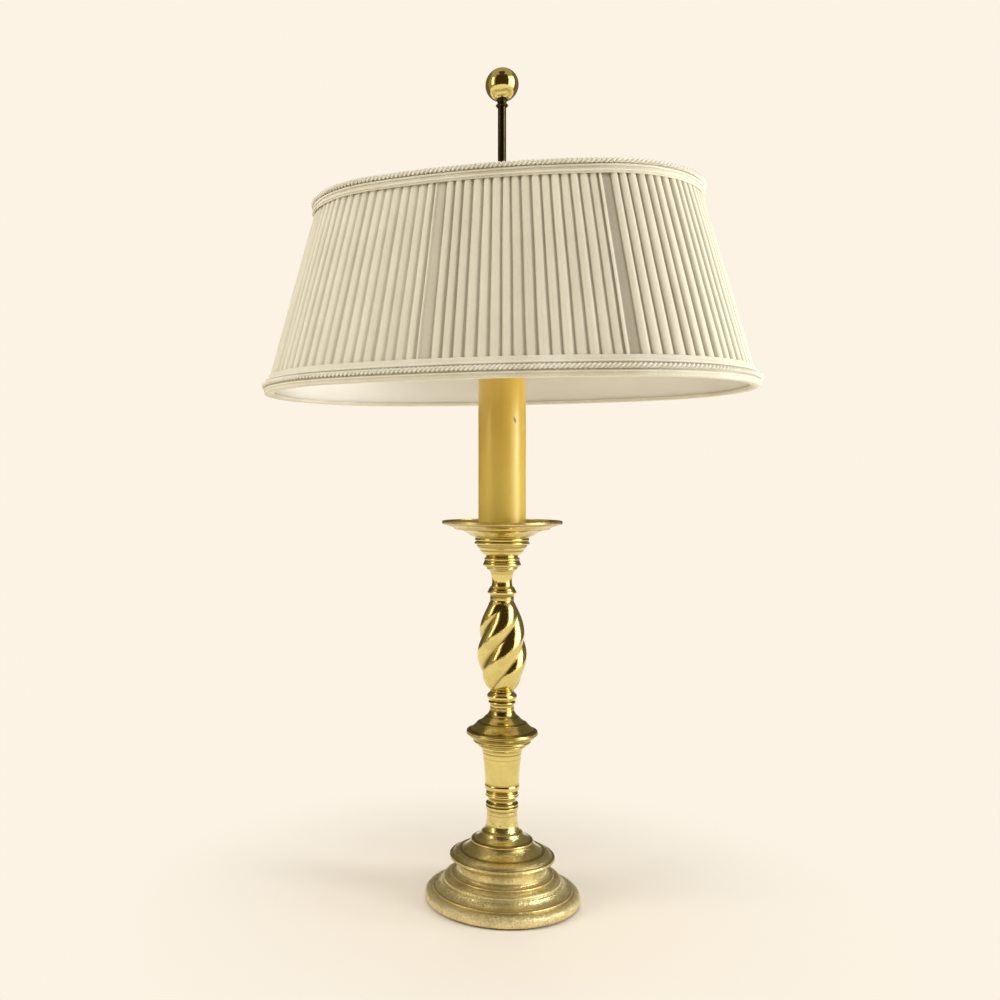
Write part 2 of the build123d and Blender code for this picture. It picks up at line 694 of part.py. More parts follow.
ring_offset = -ring_wire_radius - wire_gap
rib_offset = -rib_wire_radius - rib_gap
lining_outer = -2 * ring_wire_radius - 2 * wire_gap
lining_inner = lining_outer - lining_thickness
bottom_ring_height = shade_bottom + ring_wire_radius + wire_gap
top_ring_height = shade_top - ring_wire_radius - wire_gap
lining_bottom = bottom_ring_height - ring_wire_radius
lining_top = top_ring_height - arm_wire_radius - wire_gap


def make_ribs():
    """Frame wires under the seams, welded between the two rings."""
    low = bottom_ring_height + ring_wire_radius + wire_gap
    high = top_ring_height - ring_wire_radius - wire_gap
    wires = []
    for seam in range(panels):
        share = first_seam + seam / panels
        wires.append(straight_wire(oval_point(low, share, rib_offset),
                                   oval_point(high, share, rib_offset), rib_wire_radius))
    return wires


def make_spider_arms():
    """Four wires from the hub, level at first, then up to the top ring."""
    half_length, half_depth = half_sizes(top_ring_height)
    wires = []
    for angle, reach in ((0, half_length), (90, half_depth), (180, half_length), (270, half_depth)):
        start = hub_radius + wire_gap
        end = reach + ring_offset - ring_wire_radius - wire_gap
        path = FilletPolyline(
            (start, 0, hub_middle), (start + arm_level_length, 0, hub_middle),
            (start + arm_level_length + arm_rise_length, 0, top_ring_height),
            (end, 0, top_ring_height), radius=arm_bend_radius)
        section = Plane(origin=(start, 0, hub_middle), z_dir=(1, 0, 0)) * Circle(arm_wire_radius)
        wires.append(Rot(0, 0, angle) * sweep(section, path))
    return wires


band_inner = pleat_crest + band_gap
band_outer = band_inner + band_thickness
trim_bottom = shade_bottom - edge_turn
trim_top = shade_top + edge_turn
slope_gain = sqrt(1 + ((bottom_half_length - top_half_length) / shade_height) ** 2)


def laid_cord(height, radius):
    """Round cord laid on the band's sloping face."""
    return oval_bar(height, band_outer + (radius + trim_gap) * slope_gain, radius)


pieces["spider_hub"] = tube(hub_radius, spigot_radius + running, hub_middle - hub_thickness / 2,
                            hub_thickness)
pieces["spider_arms"] = make_spider_arms()
pieces["top_ring"] = oval_bar(top_ring_height, ring_offset, ring_wire_radius)
pieces["bottom_ring"] = oval_bar(bottom_ring_height, ring_offset, ring_wire_radius)
pieces["ribs"] = make_ribs()
pieces["shade_lining"] = oval_shell(lining_bottom, lining_top, lining_inner, lining_outer)
pieces["pleated_skin"] = make_pleats()
pieces["bottom_band"] = oval_shell(trim_bottom, trim_bottom + bottom_band_height,
                                   band_inner, band_outer)
pieces["bottom_rope"] = laid_cord(trim_bottom + bottom_rope_rise, rope_radius)
pieces["bottom_cords"] = [laid_cord(trim_bottom + rise, radius) for rise, radius in bottom_cord_places]
pieces["top_band"] = oval_shell(trim_top - top_band_height, trim_top, band_inner, band_outer)
pieces["top_rope"] = laid_cord(trim_top - top_rope_drop, rope_radius)
pieces["top_cords"] = [laid_cord(trim_top - drop, radius) for drop, radius in top_cord_places]

# ---------------------------------------------------------------- one file per piece
for name, shape in pieces.items():
    solids = shape if isinstance(shape, list) else shape.solids()
    flat = [solid for item in solids for solid in item.solids()]
    export_step(flat[0] if len(flat) == 1 else Compound(flat), "parts/" + name + ".step")
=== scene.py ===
import json
import random
from math import atan2, cos, pi, radians, sin, sqrt, tau

import bmesh
import bpy
from mathutils import Matrix, Vector, noise


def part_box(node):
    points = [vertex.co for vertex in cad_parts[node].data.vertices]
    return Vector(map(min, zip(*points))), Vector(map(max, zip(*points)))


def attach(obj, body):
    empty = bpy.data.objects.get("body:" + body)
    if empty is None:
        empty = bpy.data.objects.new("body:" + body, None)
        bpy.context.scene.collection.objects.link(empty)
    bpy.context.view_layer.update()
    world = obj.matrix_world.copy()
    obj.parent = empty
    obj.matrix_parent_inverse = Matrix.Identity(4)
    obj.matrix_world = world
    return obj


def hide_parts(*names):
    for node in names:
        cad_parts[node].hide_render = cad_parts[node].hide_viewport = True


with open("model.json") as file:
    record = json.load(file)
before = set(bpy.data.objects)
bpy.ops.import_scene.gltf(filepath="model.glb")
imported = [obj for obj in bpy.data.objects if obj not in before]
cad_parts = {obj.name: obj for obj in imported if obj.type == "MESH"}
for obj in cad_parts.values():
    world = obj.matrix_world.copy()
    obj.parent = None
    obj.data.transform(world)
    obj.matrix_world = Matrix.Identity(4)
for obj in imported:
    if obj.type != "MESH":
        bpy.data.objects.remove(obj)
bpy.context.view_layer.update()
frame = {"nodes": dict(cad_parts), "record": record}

# ------------------------------------------------------------------ felt pad
# Disc of brown wool felt, glued under the foot a little inside its rim so that the brass doesn't
# scratch the table.  Cut from sheet, with a soft fibrous edge.
mm = 0.001
record = frame["record"]
home = {name: body for body, names in record["behaviour"]["bodies"].items() for name in names}


def add_node(tree, kind, inputs=(), **settings):
    """One shader node, with its settings and its inputs, which are values or other nodes' outputs."""
    made = tree.nodes.new("ShaderNode" + kind)
    for key, value in settings.items():
        setattr(made, key, value)
    for key, value in dict(inputs).items():
        if isinstance(value, bpy.types.NodeSocket):
            tree.links.new(value, made.inputs[key])
        else:
            made.inputs[key].default_value = value
    return made


def new_group(name, takes, gives):
    """Shader node group with named inputs and outputs; returns it with its two end nodes."""
    tree = bpy.data.node_groups.new(name, "ShaderNodeTree")
    for label, (kind, value) in takes.items():
        made = tree.interface.new_socket(name=label, in_out="INPUT", socket_type="NodeSocket" + kind)
        made.default_value = value
    for label, kind in gives.items():
        tree.interface.new_socket(name=label, in_out="OUTPUT", socket_type="NodeSocket" + kind)
    return tree, tree.nodes.new("NodeGroupInput").outputs, tree.nodes.new("NodeGroupOutput").inputs


def mixed(tree, share, low, high):
    """Output of a mix of two colours, which a Mix node takes in inputs 6 and 7 and gives in output 2."""
    return add_node(tree, "Mix", {0: share, 6: low, 7: high}, data_type="RGBA").outputs[2]


def calc(tree, operation, *values, clamp=False):
    """Output of a node that calculates with numbers."""
    return add_node(tree, "Math", dict(enumerate(values)), operation=operation, use_clamp=clamp).outputs[0]


def above(tree, value, start, gain):
    """How far a value rises above a start, times a gain, kept between 0 and 1."""
    return calc(tree, "MULTIPLY", calc(tree, "SUBTRACT", value, start, clamp=True), gain, clamp=True)


def cloudy(tree, place, scale, detail, roughness=0.5):
    """Output of a noise; scale counts its waves to a metre, detail and roughness give the finer ones."""
    return add_node(tree, "TexNoise", {"Vector": place, "Scale": scale, "Detail": detail,
                                       "Roughness": roughness}).outputs[0]


def make_weave_group():
    """Woven or felted cloth: threads, slubs, a slightly uneven dye and painted shade in its folds."""
    tree, takes, gives = new_group("woven_cloth", {
        "Colour": ("Color", (0.8, 0.8, 0.8, 1)), "Shade Colour": ("Color", (0.5, 0.5, 0.5, 1)),
        "Threads": ("Float", 1500.0), "Along": ("Vector", (1, 1, 1)),
        "Unevenness": ("Float", 0.2), "Relief": ("Float", 0.00004), "Fold Dirt": ("Float", 0.0),
    }, {"Colour": "Color", "Roughness": "Float", "Height": "Float"})
    place = add_node(tree, "TexCoord").outputs["Object"]
    stretched = add_node(tree, "VectorMath", {0: place, 1: takes["Along"]}, operation="MULTIPLY").outputs[0]
    threads = cloudy(tree, stretched, takes["Threads"], detail=3.0, roughness=0.6)
    cloud = cloudy(tree, place, 38.0, detail=3.0)
    blend = calc(tree, "MULTIPLY_ADD", threads, 0.55, calc(tree, "MULTIPLY", cloud, 0.45))
    share = above(tree, blend, 0.36, 3.2)
    shade = calc(tree, "MULTIPLY", calc(tree, "SUBTRACT", 1.0, share), takes["Unevenness"])
    # painted shade: the groove marks darken the cloth towards Shade Colour where its folds lie in shadow
    fold = add_node(tree, "Attribute", attribute_name="groove").outputs["Fac"]
    shade = calc(tree, "MULTIPLY_ADD", fold, takes["Fold Dirt"], shade, clamp=True)
    links = tree.links
    links.new(mixed(tree, shade, takes["Colour"], takes["Shade Colour"]), gives["Colour"])
    links.new(calc(tree, "MULTIPLY_ADD", threads, 0.2, 0.68), gives["Roughness"])
    links.new(calc(tree, "MULTIPLY", threads, takes["Relief"]), gives["Height"])
    return tree


woven_cloth = make_weave_group()


def new_material(name, effect, values, **plain):
    """Material whose colour, roughness and relief come from a group; plain values go on the shader."""
    material = bpy.data.materials.new(name)
    material.use_nodes = True
    tree = material.node_tree
    shader = tree.nodes["Principled BSDF"]
    placed = add_node(tree, "Group", node_tree=effect)
    for label, value in values.items():
        placed.inputs[label].default_value = value
    tree.links.new(placed.outputs["Colour"], shader.inputs["Base Color"])
    tree.links.new(placed.outputs["Roughness"], shader.inputs["Roughness"])
    bump = add_node(tree, "Bump", {"Height": placed.outputs["Height"], "Strength": 1.0, "Distance": 1.0})
    tree.links.new(bump.outputs[0], shader.inputs["Normal"])
    for label, value in plain.items():
        shader.inputs[label.replace("_", " ")].default_value = value
    return material


def at(radius, height):
    """Point of an outline."""
    return Vector((radius, height))


def soften(outline, reach=0.28 * mm, steps=4):
    """Closed outline with each sharp corner turned into a small arc, as polishing leaves it."""
    nothing = 1e-9
    flattest_corner = radians(14)
    most_of_a_side = 0.42
    soft = []
    count = len(outline)
    for index, corner in enumerate(outline):
        before, after = outline[index - 1], outline[(index + 1) % count]
        into, out = corner - before, after - corner
        if into.length < nothing or out.length < nothing:
            continue
        if into.angle(out) < flattest_corner:
            soft.append(corner)
            continue
        first = corner - into.normalized() * min(reach, most_of_a_side * into.length)
        last = corner + out.normalized() * min(reach, most_of_a_side * out.length)
        for step in range(steps + 1):
            share = step / steps
            soft.append(first * (1 - share)**2 + corner * 2 * share * (1 - share) + last * share**2)
    return soft


def spread(outline, longest):
    """Closed outline with long straight runs divided."""
    full = []
    for index, start in enumerate(outline):
        end = outline[(index + 1) % len(outline)]
        parts = max(1, int((end - start).length / longest))
        full += [start.lerp(end, part / parts) for part in range(parts)]
    return full


def make_mesh(name, points, faces, soft_edges=True):
    """Object in the scene from points and faces, smoothly shaded if its edges are soft."""
    mesh = bpy.data.meshes.new(name)
    mesh.from_pydata([tuple(point) for point in points], [], faces)
    mesh.polygons.foreach_set("use_smooth", [soft_edges] * len(mesh.polygons))
    mesh.update()
    thing = bpy.data.objects.new(name, mesh)
    bpy.context.scene.collection.objects.link(thing)
    return thing


def hollows(outline, window=1.6 * mm, depth=0.55 * mm):
    """How deep each point of an outline lies in a groove, from 0 to 1: polish never reaches it."""
    found = []
    for point in outline:
        near = [other for other in outline if (other - point).length < window]
        middle = sum(other.x for other in near) / len(near)
        level = sum(other.y for other in near) / len(near)
        sunk = ((middle - point.x)**2 + (level - point.y)**2)**0.5 / depth
        found.append(min(1.0, sunk) if middle > point.x else 0.0)
    return found


def ring_faces(rings, around, closed=False, first=0, flipped=False):
    """Faces between rings of points; closed also joins the last ring to the first one."""
    faces = []
    for ring in range(rings if closed else rings - 1):
        low = first + ring * around
        high = first + (ring + 1) % rings * around
        for turn in range(around):
            beside = (turn + 1) % around
            face = (low + turn, low + beside, high + beside, high + turn)
            faces.append((face[0], face[3], face[2], face[1]) if flipped else face)
    return faces


def mark_grooves(thing, marks):
    """Keeps how deep each point lies in a groove, for the tarnish there or, on the pleated cover, for painted
    shade.
    """
    attribute = thing.data.attributes.new("groove", "FLOAT", "POINT")
    attribute.data.foreach_set("value", marks)


touching = 1e-7


def weld(thing):
    """Joins points that fall together, as on a spin's axis."""
    work = bmesh.new()
    work.from_mesh(thing.data)
    bmesh.ops.remove_doubles(work, verts=work.verts, dist=touching)
    bmesh.ops.dissolve_degenerate(work, edges=work.edges, dist=touching)
    work.to_mesh(thing.data)
    work.free()


def spin(name, outline, segments=144, place=Matrix.Identity(4)):
    """Mesh of revolution about Z of a closed outline of (radius, height), with its grooves marked."""
    points = []
    for point in outline:
        for turn in range(segments):
            angle = tau * turn / segments
            points.append(place @ Vector((point.x * cos(angle), point.x * sin(angle), point.y)))
    faces = [face for face in ring_faces(len(outline), segments, closed=True)
             if any(outline[corner // segments].x >= touching for corner in face)]
    thing = make_mesh(name, points, faces)
    mark_grooves(thing, [mark for mark in hollows(outline) for _ in range(segments)])
    if any(point.x < touching for point in outline):
        weld(thing)
    return thing


def stand_in(thing, node, material, *others):
    """The piece takes the place of its node: its body and its finish."""
    thing.data.materials.clear()
    thing.data.materials.append(material)
    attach(thing, home[node])
    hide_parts(node, *others)
    return thing


felt = new_material("brown_felt", woven_cloth, {
    "Colour": (0.115, 0.075, 0.045, 1), "Shade Colour": (0.05, 0.03, 0.018, 1),
    "Threads": 2200.0, "Unevenness": 0.9, "Relief": 0.00012})
felt_low, felt_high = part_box("felt_pad")
felt_outline = [at(0, felt_low.z), at(felt_high.x, felt_low.z), at(felt_high.x, felt_high.z),
                at(0, felt_high.z)]
stand_in(spin("felt_disc", soften(spread(felt_outline, 6 * mm), 0.4 * mm)), "felt_pad", felt)

# ------------------------------------------------------------------ foot
# Sand-cast brass foot, hollow below.  Its rim keeps the grain of the mould; the cove, quarter
# round and waisted neck are turned and polished.
foot_stations = [
    (1.000, 0.00, 0), (1.000, 0.12, 0), (0.945, 0.25, 0.20), (0.900, 0.27, 0),
    (0.890, 0.33, 0.30), (0.875, 0.34, 0), (0.785, 0.46, -0.12), (0.762, 0.50, 0),
    (0.762, 0.54, 0), (0.680, 0.61, 0.16), (0.660, 0.62, 0), (0.655, 0.67, 0.30),
    (0.600, 0.70, -0.10), (0.590, 0.96, -0.10), (0.598, 1.00, 0),
]
pipe_clearance = 0.1 * mm
stem_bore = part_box("threaded_pipe")[1].x + pipe_clearance


def make_brass_group():
    """Old brass: tarnish in grooves and patches, tool rings, dents, pits and the sand's grain."""
    tree, takes, gives = new_group("old_brass", {
        "Clean": ("Color", (0.8, 0.6, 0.2, 1)), "Tarnish": ("Color", (0.3, 0.2, 0.05, 1)),
        "Patina": ("Float", 0.3), "Shine": ("Float", 0.1), "Pit Size": ("Float", 900.0),
        "Pit Depth": ("Float", 0.00002), "Waviness": ("Float", 0.0001),
        "Grain Colour": ("Color", (0.86, 0.75, 0.45, 1)), "Grain Depth": ("Float", 0.0006),
    }, {"Colour": "Color", "Roughness": "Float", "Height": "Float"})
    place = add_node(tree, "TexCoord").outputs["Object"]
    parts = add_node(tree, "SeparateXYZ", {0: place}).outputs
    radius = calc(tree, "SQRT", calc(tree, "ADD", calc(tree, "POWER", parts[0], 2.0),
                                     calc(tree, "POWER", parts[1], 2.0)))
    ring_place = add_node(tree, "CombineXYZ", {0: radius, 1: 0.0, 2: parts[2]}).outputs[0]
    rings = cloudy(tree, ring_place, 1400.0, detail=2.0)
    cloud = cloudy(tree, place, 55.0, detail=5.0, roughness=0.65)
    dents = cloudy(tree, place, 70.0, detail=1.0)
    pits = cloudy(tree, place, takes["Pit Size"], detail=2.0, roughness=0.7)
    sand = cloudy(tree, place, 560.0, detail=3.0, roughness=0.7)
    groove = add_node(tree, "Attribute", attribute_name="groove").outputs["Fac"]
    grain = add_node(tree, "Attribute", attribute_name="grain").outputs["Fac"]
    patches = above(tree, cloud, 0.42, 4.0)
    speckle = above(tree, pits, 0.5, 5.0)
    stain = calc(tree, "MULTIPLY", calc(tree, "MAXIMUM", patches, speckle), takes["Patina"])
    dark = calc(tree, "MAXIMUM", stain, calc(tree, "MULTIPLY", groove, 0.85), clamp=True)
    links = tree.links
    aged = mixed(tree, dark, takes["Clean"], takes["Tarnish"])
    peaks = above(tree, sand, 0.40, 5.0)
    paler = calc(tree, "MULTIPLY", calc(tree, "MULTIPLY", peaks, grain), 0.85)
    links.new(mixed(tree, paler, aged, takes["Grain Colour"]), gives["Colour"])
    rough = calc(tree, "MULTIPLY_ADD", dark, 0.22, calc(tree, "MULTIPLY_ADD", grain, 0.17, takes["Shine"]))
    links.new(calc(tree, "MULTIPLY_ADD", rings, 0.05, rough), gives["Roughness"])
    pitted = calc(tree, "MULTIPLY", speckle, calc(tree, "MULTIPLY", takes["Pit Depth"], -1.0))
    waved = calc(tree, "MULTIPLY_ADD", dents, takes["Waviness"], pitted)
    turned = calc(tree, "MULTIPLY_ADD", rings, 0.0000012, waved)
    cast = calc(tree, "MULTIPLY", calc(tree, "MULTIPLY", sand, takes["Grain Depth"]), grain)
    links.new(calc(tree, "ADD", turned, cast), gives["Height"])
    return tree


old_brass = make_brass_group()
clean_brass = (0.84, 0.69, 0.25, 1)
brown_tarnish = (0.24, 0.155, 0.035, 1)
cast_brass = new_material("cast_brass", old_brass, {
    "Clean": (0.84, 0.71, 0.34, 1), "Tarnish": (0.36, 0.26, 0.085, 1), "Patina": 0.75, "Shine": 0.13,
    "Pit Size": 650.0, "Pit Depth": 0.00013, "Waviness": 0.00035}, Metallic=0.76)
dish_brass = new_material("dish_brass", old_brass, {
    "Clean": (0.84, 0.70, 0.28, 1), "Tarnish": (0.30, 0.20, 0.055, 1), "Patina": 0.50, "Shine": 0.09,
    "Pit Size": 700.0, "Pit Depth": 0.00007, "Waviness": 0.00030}, Metallic=0.95)
# a darker copy of the polished brass: painted shade for the dim reflections on the bell flange
shaded_bell_brass = new_material("shaded_bell_brass", old_brass, {
    "Clean": (0.66, 0.53, 0.17, 1), "Tarnish": (0.15, 0.10, 0.025, 1), "Patina": 0.35, "Shine": 0.09,
    "Pit Size": 1200.0, "Pit Depth": 0.00002, "Waviness": 0.00024}, Metallic=1.0)
polished_brass = new_material("polished_brass", old_brass, {
    "Clean": clean_brass, "Tarnish": brown_tarnish, "Patina": 0.20, "Shine": 0.075,
    "Pit Size": 1500.0, "Pit Depth": 0.00001, "Waviness": 0.00022}, Metallic=1.0)


def arc(first, last, bulge, steps=9):
    """Points from first up to last, left out, on an arc that rises by a share of its chord."""
    if bulge == 0:
        return [first]
    chord = last - first
    outward = Vector((chord.y, -chord.x))
    centre = (first + last) / 2 - outward * (0.25 - bulge**2) / (2 * bulge)
    opening = 4 * atan2(2 * bulge, 1)
    return [centre + Matrix.Rotation(opening * step / steps, 2) @ (first - centre) for step in range(steps)]


def profile(stations, radius, low, height):
    """Line through (share of radius, share of height, bulge of the run that ends here) stations."""
    line = []
    for start, end in zip(stations, stations[1:]):
        first = at(start[0] * radius, low + start[1] * height)
        last = at(end[0] * radius, low + end[1] * height)
        line += arc(first, last, end[2])
    return line + [last]


def turned_outline(node, stations, bore=None):
    """Outline of a turned piece as wide and as tall as its node, closed along its bore."""
    low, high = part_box(node)
    radius = high.x
    # arcs bulge past their stations, so the radius is fitted on a second pass
    for _ in range(2):
        outline = profile(stations, radius, low.z, high.z - low.z)
        radius *= high.x / max(point.x for point in outline)
    if bore is not None:
        outline += [at(bore, outline[-1].y), at(bore, outline[0].y)]
    return outline


deepest_grain = 0.20 * mm


def roughen(thing, depth, size, low, high, inside=0.0):
    """Moves points between two heights in and out and marks them, for the grain of a casting."""
    fade_height = 1.0 * mm
    finer, finer_share = 2.7, 0.6
    normals = [vertex.normal.copy() for vertex in thing.data.vertices]
    marks = thing.data.attributes.get("grain") or thing.data.attributes.new("grain", "FLOAT", "POINT")
    for vertex, normal in zip(thing.data.vertices, normals):
        place = vertex.co.copy()
        if low < place.z < high and Vector(place[:2]).length > inside:
            fade = max(0.0, min(1.0, (place.z - low) / fade_height, (high - place.z) / fade_height))
            grain = noise.noise(place / size) + finer_share * noise.noise(place / size * finer)
            vertex.co = place + normal * grain * depth * fade
            marks.data[vertex.index].value = fade * min(1.0, depth / deepest_grain)


foot_low, foot_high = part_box("foot")
foot_wall = 4.0 * mm
neck_share = 0.59
rim_inside = foot_high.x - foot_wall
neck_inside = neck_share * foot_high.x - foot_wall
foot_tall = foot_high.z - foot_low.z
foot_outline = turned_outline("foot", foot_stations) + [
    at(stem_bore, foot_high.z), at(stem_bore, foot_high.z - foot_wall),
    at(neck_inside, foot_high.z - foot_wall), at(neck_inside, foot_low.z + 0.6 * foot_tall),
    at(neck_inside + foot_wall, foot_low.z + 0.45 * foot_tall),
    at(rim_inside, foot_low.z + 0.12 * foot_tall), at(rim_inside, foot_low.z),
]
foot = spin("foot_casting", spread(soften(foot_outline, 0.5 * mm), 0.7 * mm), segments=400)


def bore_hole(thing, centre, direction, radius, length):
    """Drills a round hole of a given length about a centre."""
    bpy.ops.mesh.primitive_cylinder_add(vertices=48, radius=radius, depth=length, location=centre)
    cutter = bpy.context.object
    cutter.rotation_mode = "QUATERNION"
    cutter.rotation_quaternion = Vector(direction).to_track_quat("Z", "Y")
    bpy.context.view_layer.update()
    cut = thing.modifiers.new("hole", "BOOLEAN")
    cut.object, cut.operation, cut.solver = cutter, "DIFFERENCE", "EXACT"
    graph = bpy.context.evaluated_depsgraph_get()
    old = thing.data
    thing.data = bpy.data.meshes.new_from_object(thing.evaluated_get(graph))
    thing.modifiers.clear()
    bpy.data.objects.remove(cutter)
    bpy.data.meshes.remove(old)


bushing_low, bushing_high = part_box("cord_bushing")
bushing_middle = (bushing_low + bushing_high) / 2
bushing_grip = 0.35 * mm
through_the_wall = 20 * mm
bore_hole(foot, bushing_middle, (0, 1, 0), (bushing_high.x - bushing_low.x) / 2 - bushing_grip,
          through_the_wall)
rim_top = foot_low.z + 0.36 * foot_tall
step_top = foot_low.z + 0.72 * foot_tall
roughen(foot, deepest_grain, 1.2 * mm, foot_low.z + 0.4 * mm, rim_top, rim_inside)
roughen(foot, 0.05 * mm, 2.5 * mm, rim_top, step_top, rim_inside / 2)
stand_in(foot, "foot", cast_brass)

# ------------------------------------------------------------------ inside the foot
# Black nylon bushing pushed through the rear of the neck for the cord; inside, an iron ballast
# disc, a plated washer and the nut that pulls the whole stem together on the pipe.


def make_plain_group():
    """Moulded, cast, plated or painted surface: faint mottling, handling marks and grain."""
    tree, takes, gives = new_group("plain_surface", {
        "Colour": ("Color", (0.5, 0.5, 0.5, 1)), "Worn Colour": ("Color", (0.6, 0.6, 0.6, 1)),
        "Wear": ("Float", 0.3), "Grain": ("Float", 800.0), "Relief": ("Float", 0.00001),
        "Roughness": ("Float", 0.5),
    }, {"Colour": "Color", "Roughness": "Float", "Height": "Float"})
    place = add_node(tree, "TexCoord").outputs["Object"]
    cloud = cloudy(tree, place, 90.0, detail=6.0, roughness=0.7)
    grain = cloudy(tree, place, takes["Grain"], detail=2.0)
    worn = calc(tree, "MULTIPLY", above(tree, cloud, 0.45, 5.0), takes["Wear"])
    links = tree.links
    links.new(mixed(tree, worn, takes["Colour"], takes["Worn Colour"]), gives["Colour"])
    links.new(calc(tree, "MULTIPLY_ADD", cloud, 0.14, takes["Roughness"]), gives["Roughness"])
    links.new(calc(tree, "MULTIPLY", grain, takes["Relief"]), gives["Height"])
    return tree


plain_surface = make_plain_group()
black_nylon = new_material("black_nylon", plain_surface, {
    "Colour": (0.018, 0.017, 0.016, 1), "Worn Colour": (0.05, 0.048, 0.045, 1), "Roughness": 0.42})
iron = new_material("rough_iron", plain_surface, {
    "Colour": (0.07, 0.065, 0.06, 1), "Worn Colour": (0.16, 0.07, 0.03, 1), "Wear": 0.7,
    "Grain": 500.0, "Relief": 0.0002, "Roughness": 0.6}, Metallic=0.6)
zinc = new_material("zinc_plate", plain_surface, {
    "Colour": (0.52, 0.51, 0.47, 1), "Worn Colour": (0.35, 0.34, 0.30, 1), "Wear": 0.5,
    "Roughness": 0.28}, Metallic=1.0)


def dress(node, material, sharp=32):
    """A node whose shape is right keeps its mesh and gets its finish and smooth shading."""
    thing = frame["nodes"][node]
    thing.data.materials.clear()
    thing.data.materials.append(material)
    thing.data.polygons.foreach_set("use_smooth", [True] * len(thing.data.polygons))
    thing.data.set_sharp_from_angle(angle=radians(sharp))


dress("cord_bushing", black_nylon)
dress("ballast", iron)
for node in ("foot_washer", "foot_nut", "threaded_pipe"):
    dress(node, zinc)

# ------------------------------------------------------------------ turned stem
# Eight cast and turned brass pieces threaded over the pipe: base dish, collar, tapered vase,
# bell flange, reels, capital ring and candle cup.  Dark lines of old polish mark their joints.
stem_stations = {
    "base_dish": [
        (0.880, 0.00, 0), (0.900, 0.035, 0.20), (0.985, 0.045, 0), (1.000, 0.075, 0.35),
        (0.975, 0.105, 0.30), (0.955, 0.100, 0), (0.830, 0.185, 0.08), (0.800, 0.180, 0),
        (0.580, 0.350, -0.06), (0.575, 0.390, 0.35), (0.540, 0.400, 0), (0.390, 0.530, -0.10),
        (0.300, 0.700, -0.12), (0.290, 0.900, -0.02), (0.310, 0.950, -0.20), (0.310, 1.000, 0),
    ],
    "lower_collar": [
        (0.900, 0.00, 0), (0.960, 0.08, 0.25), (0.970, 0.22, 0.35), (0.900, 0.28, 0),
        (0.880, 0.50, -0.20), (0.960, 0.60, -0.10), (1.000, 0.78, 0.30), (0.920, 0.94, 0.20),
        (0.890, 1.00, 0),
    ],
    "tapered_vase": [
        (0.690, 0.00, 0), (0.790, 0.15, 0.22), (0.885, 0.72, -0.015), (0.930, 0.88, -0.05),
        (1.000, 0.96, -0.15), (1.000, 1.00, 0),
    ],
    "bell_flange": [
        (0.640, 0.00, 0), (0.680, 0.045, 0.30), (0.680, 0.075, 0), (0.780, 0.090, 0),
        (0.800, 0.150, 0.30), (0.800, 0.190, 0), (0.940, 0.250, -0.08), (0.985, 0.300, 0),
        (1.000, 0.350, 0.30), (0.960, 0.400, 0.25), (0.935, 0.410, 0), (0.700, 0.590, -0.05),
        (0.480, 0.740, -0.06), (0.350, 0.900, -0.10), (0.340, 1.000, 0),
    ],
    "lower_reel": [
        (0.860, 0.00, 0), (0.860, 0.18, 0), (0.930, 0.20, 0), (0.930, 0.34, 0.35),
        (0.870, 0.38, 0), (1.000, 0.50, 0.10), (1.000, 0.82, 0.25), (0.880, 0.90, 0.10),
        (0.860, 1.00, 0),
    ],
    "upper_reel": [
        (0.800, 0.00, 0), (0.780, 0.12, 0), (0.840, 0.17, 0), (0.900, 0.30, 0.35),
        (0.790, 0.40, 0.05), (0.700, 0.44, 0), (0.670, 0.66, -0.04), (0.780, 0.86, -0.05),
        (0.960, 0.95, -0.15), (1.000, 1.00, 0.20),
    ],
    "capital_ring": [
        (0.820, 0.00, 0), (0.860, 0.10, 0.25), (0.960, 0.14, 0), (1.000, 0.42, 0.35),
        (0.940, 0.62, 0.15), (0.940, 0.80, 0.30), (0.880, 0.84, 0), (0.880, 1.00, 0),
    ],
    "candle_cup": [
        (0.640, 0.00, 0), (0.830, 0.34, 0.10), (0.940, 0.56, 0.06), (0.940, 0.62, 0),
        (1.000, 0.64, 0), (1.010, 0.78, 0.30), (0.965, 0.80, 0), (0.965, 0.84, 0),
        (1.000, 0.86, 0), (1.000, 1.00, 0.12),
    ],
}
for node, stations in stem_stations.items():
    outline = spread(soften(turned_outline(node, stations, stem_bore)), 1.2 * mm)
    if node == "base_dish":
        dish = spin("dish_casting", outline, segments=320)
        dish_low, dish_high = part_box(node)
        flange_top = dish_low.z + 0.2 * (dish_high.z - dish_low.z)
        roughen(dish, deepest_grain / 2, 1.4 * mm, dish_low.z + 0.5 * mm, flange_top, 0.8 * dish_high.x)
        stand_in(dish, node, dish_brass)
    else:
        finish = shaded_bell_brass if node == "bell_flange" else polished_brass
        stand_in(spin(node + "_turning", outline), node, finish)

# ------------------------------------------------------------------ swirl knop
# Cast brass knop with four fat lobes that wind round an egg-shaped body, chased and polished by
# hand, so that its lobes are full and its grooves keep dark polish.
knop_low, knop_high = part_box("swirl_knop")
knop_radius = 19.0 * mm
knop_neck_radius = 9.0 * mm
knop_neck_height = 1.4 * mm
knop_lobes = 4
knop_lead = 106.0 * mm
knop_start = radians(15)
knop_groove = 0.20
knop_belly = 0.85
knop_fullness = 0.7
knop_end = 0.002
knop_edge = 0.3 * mm
knop_lap = 0.2 * mm


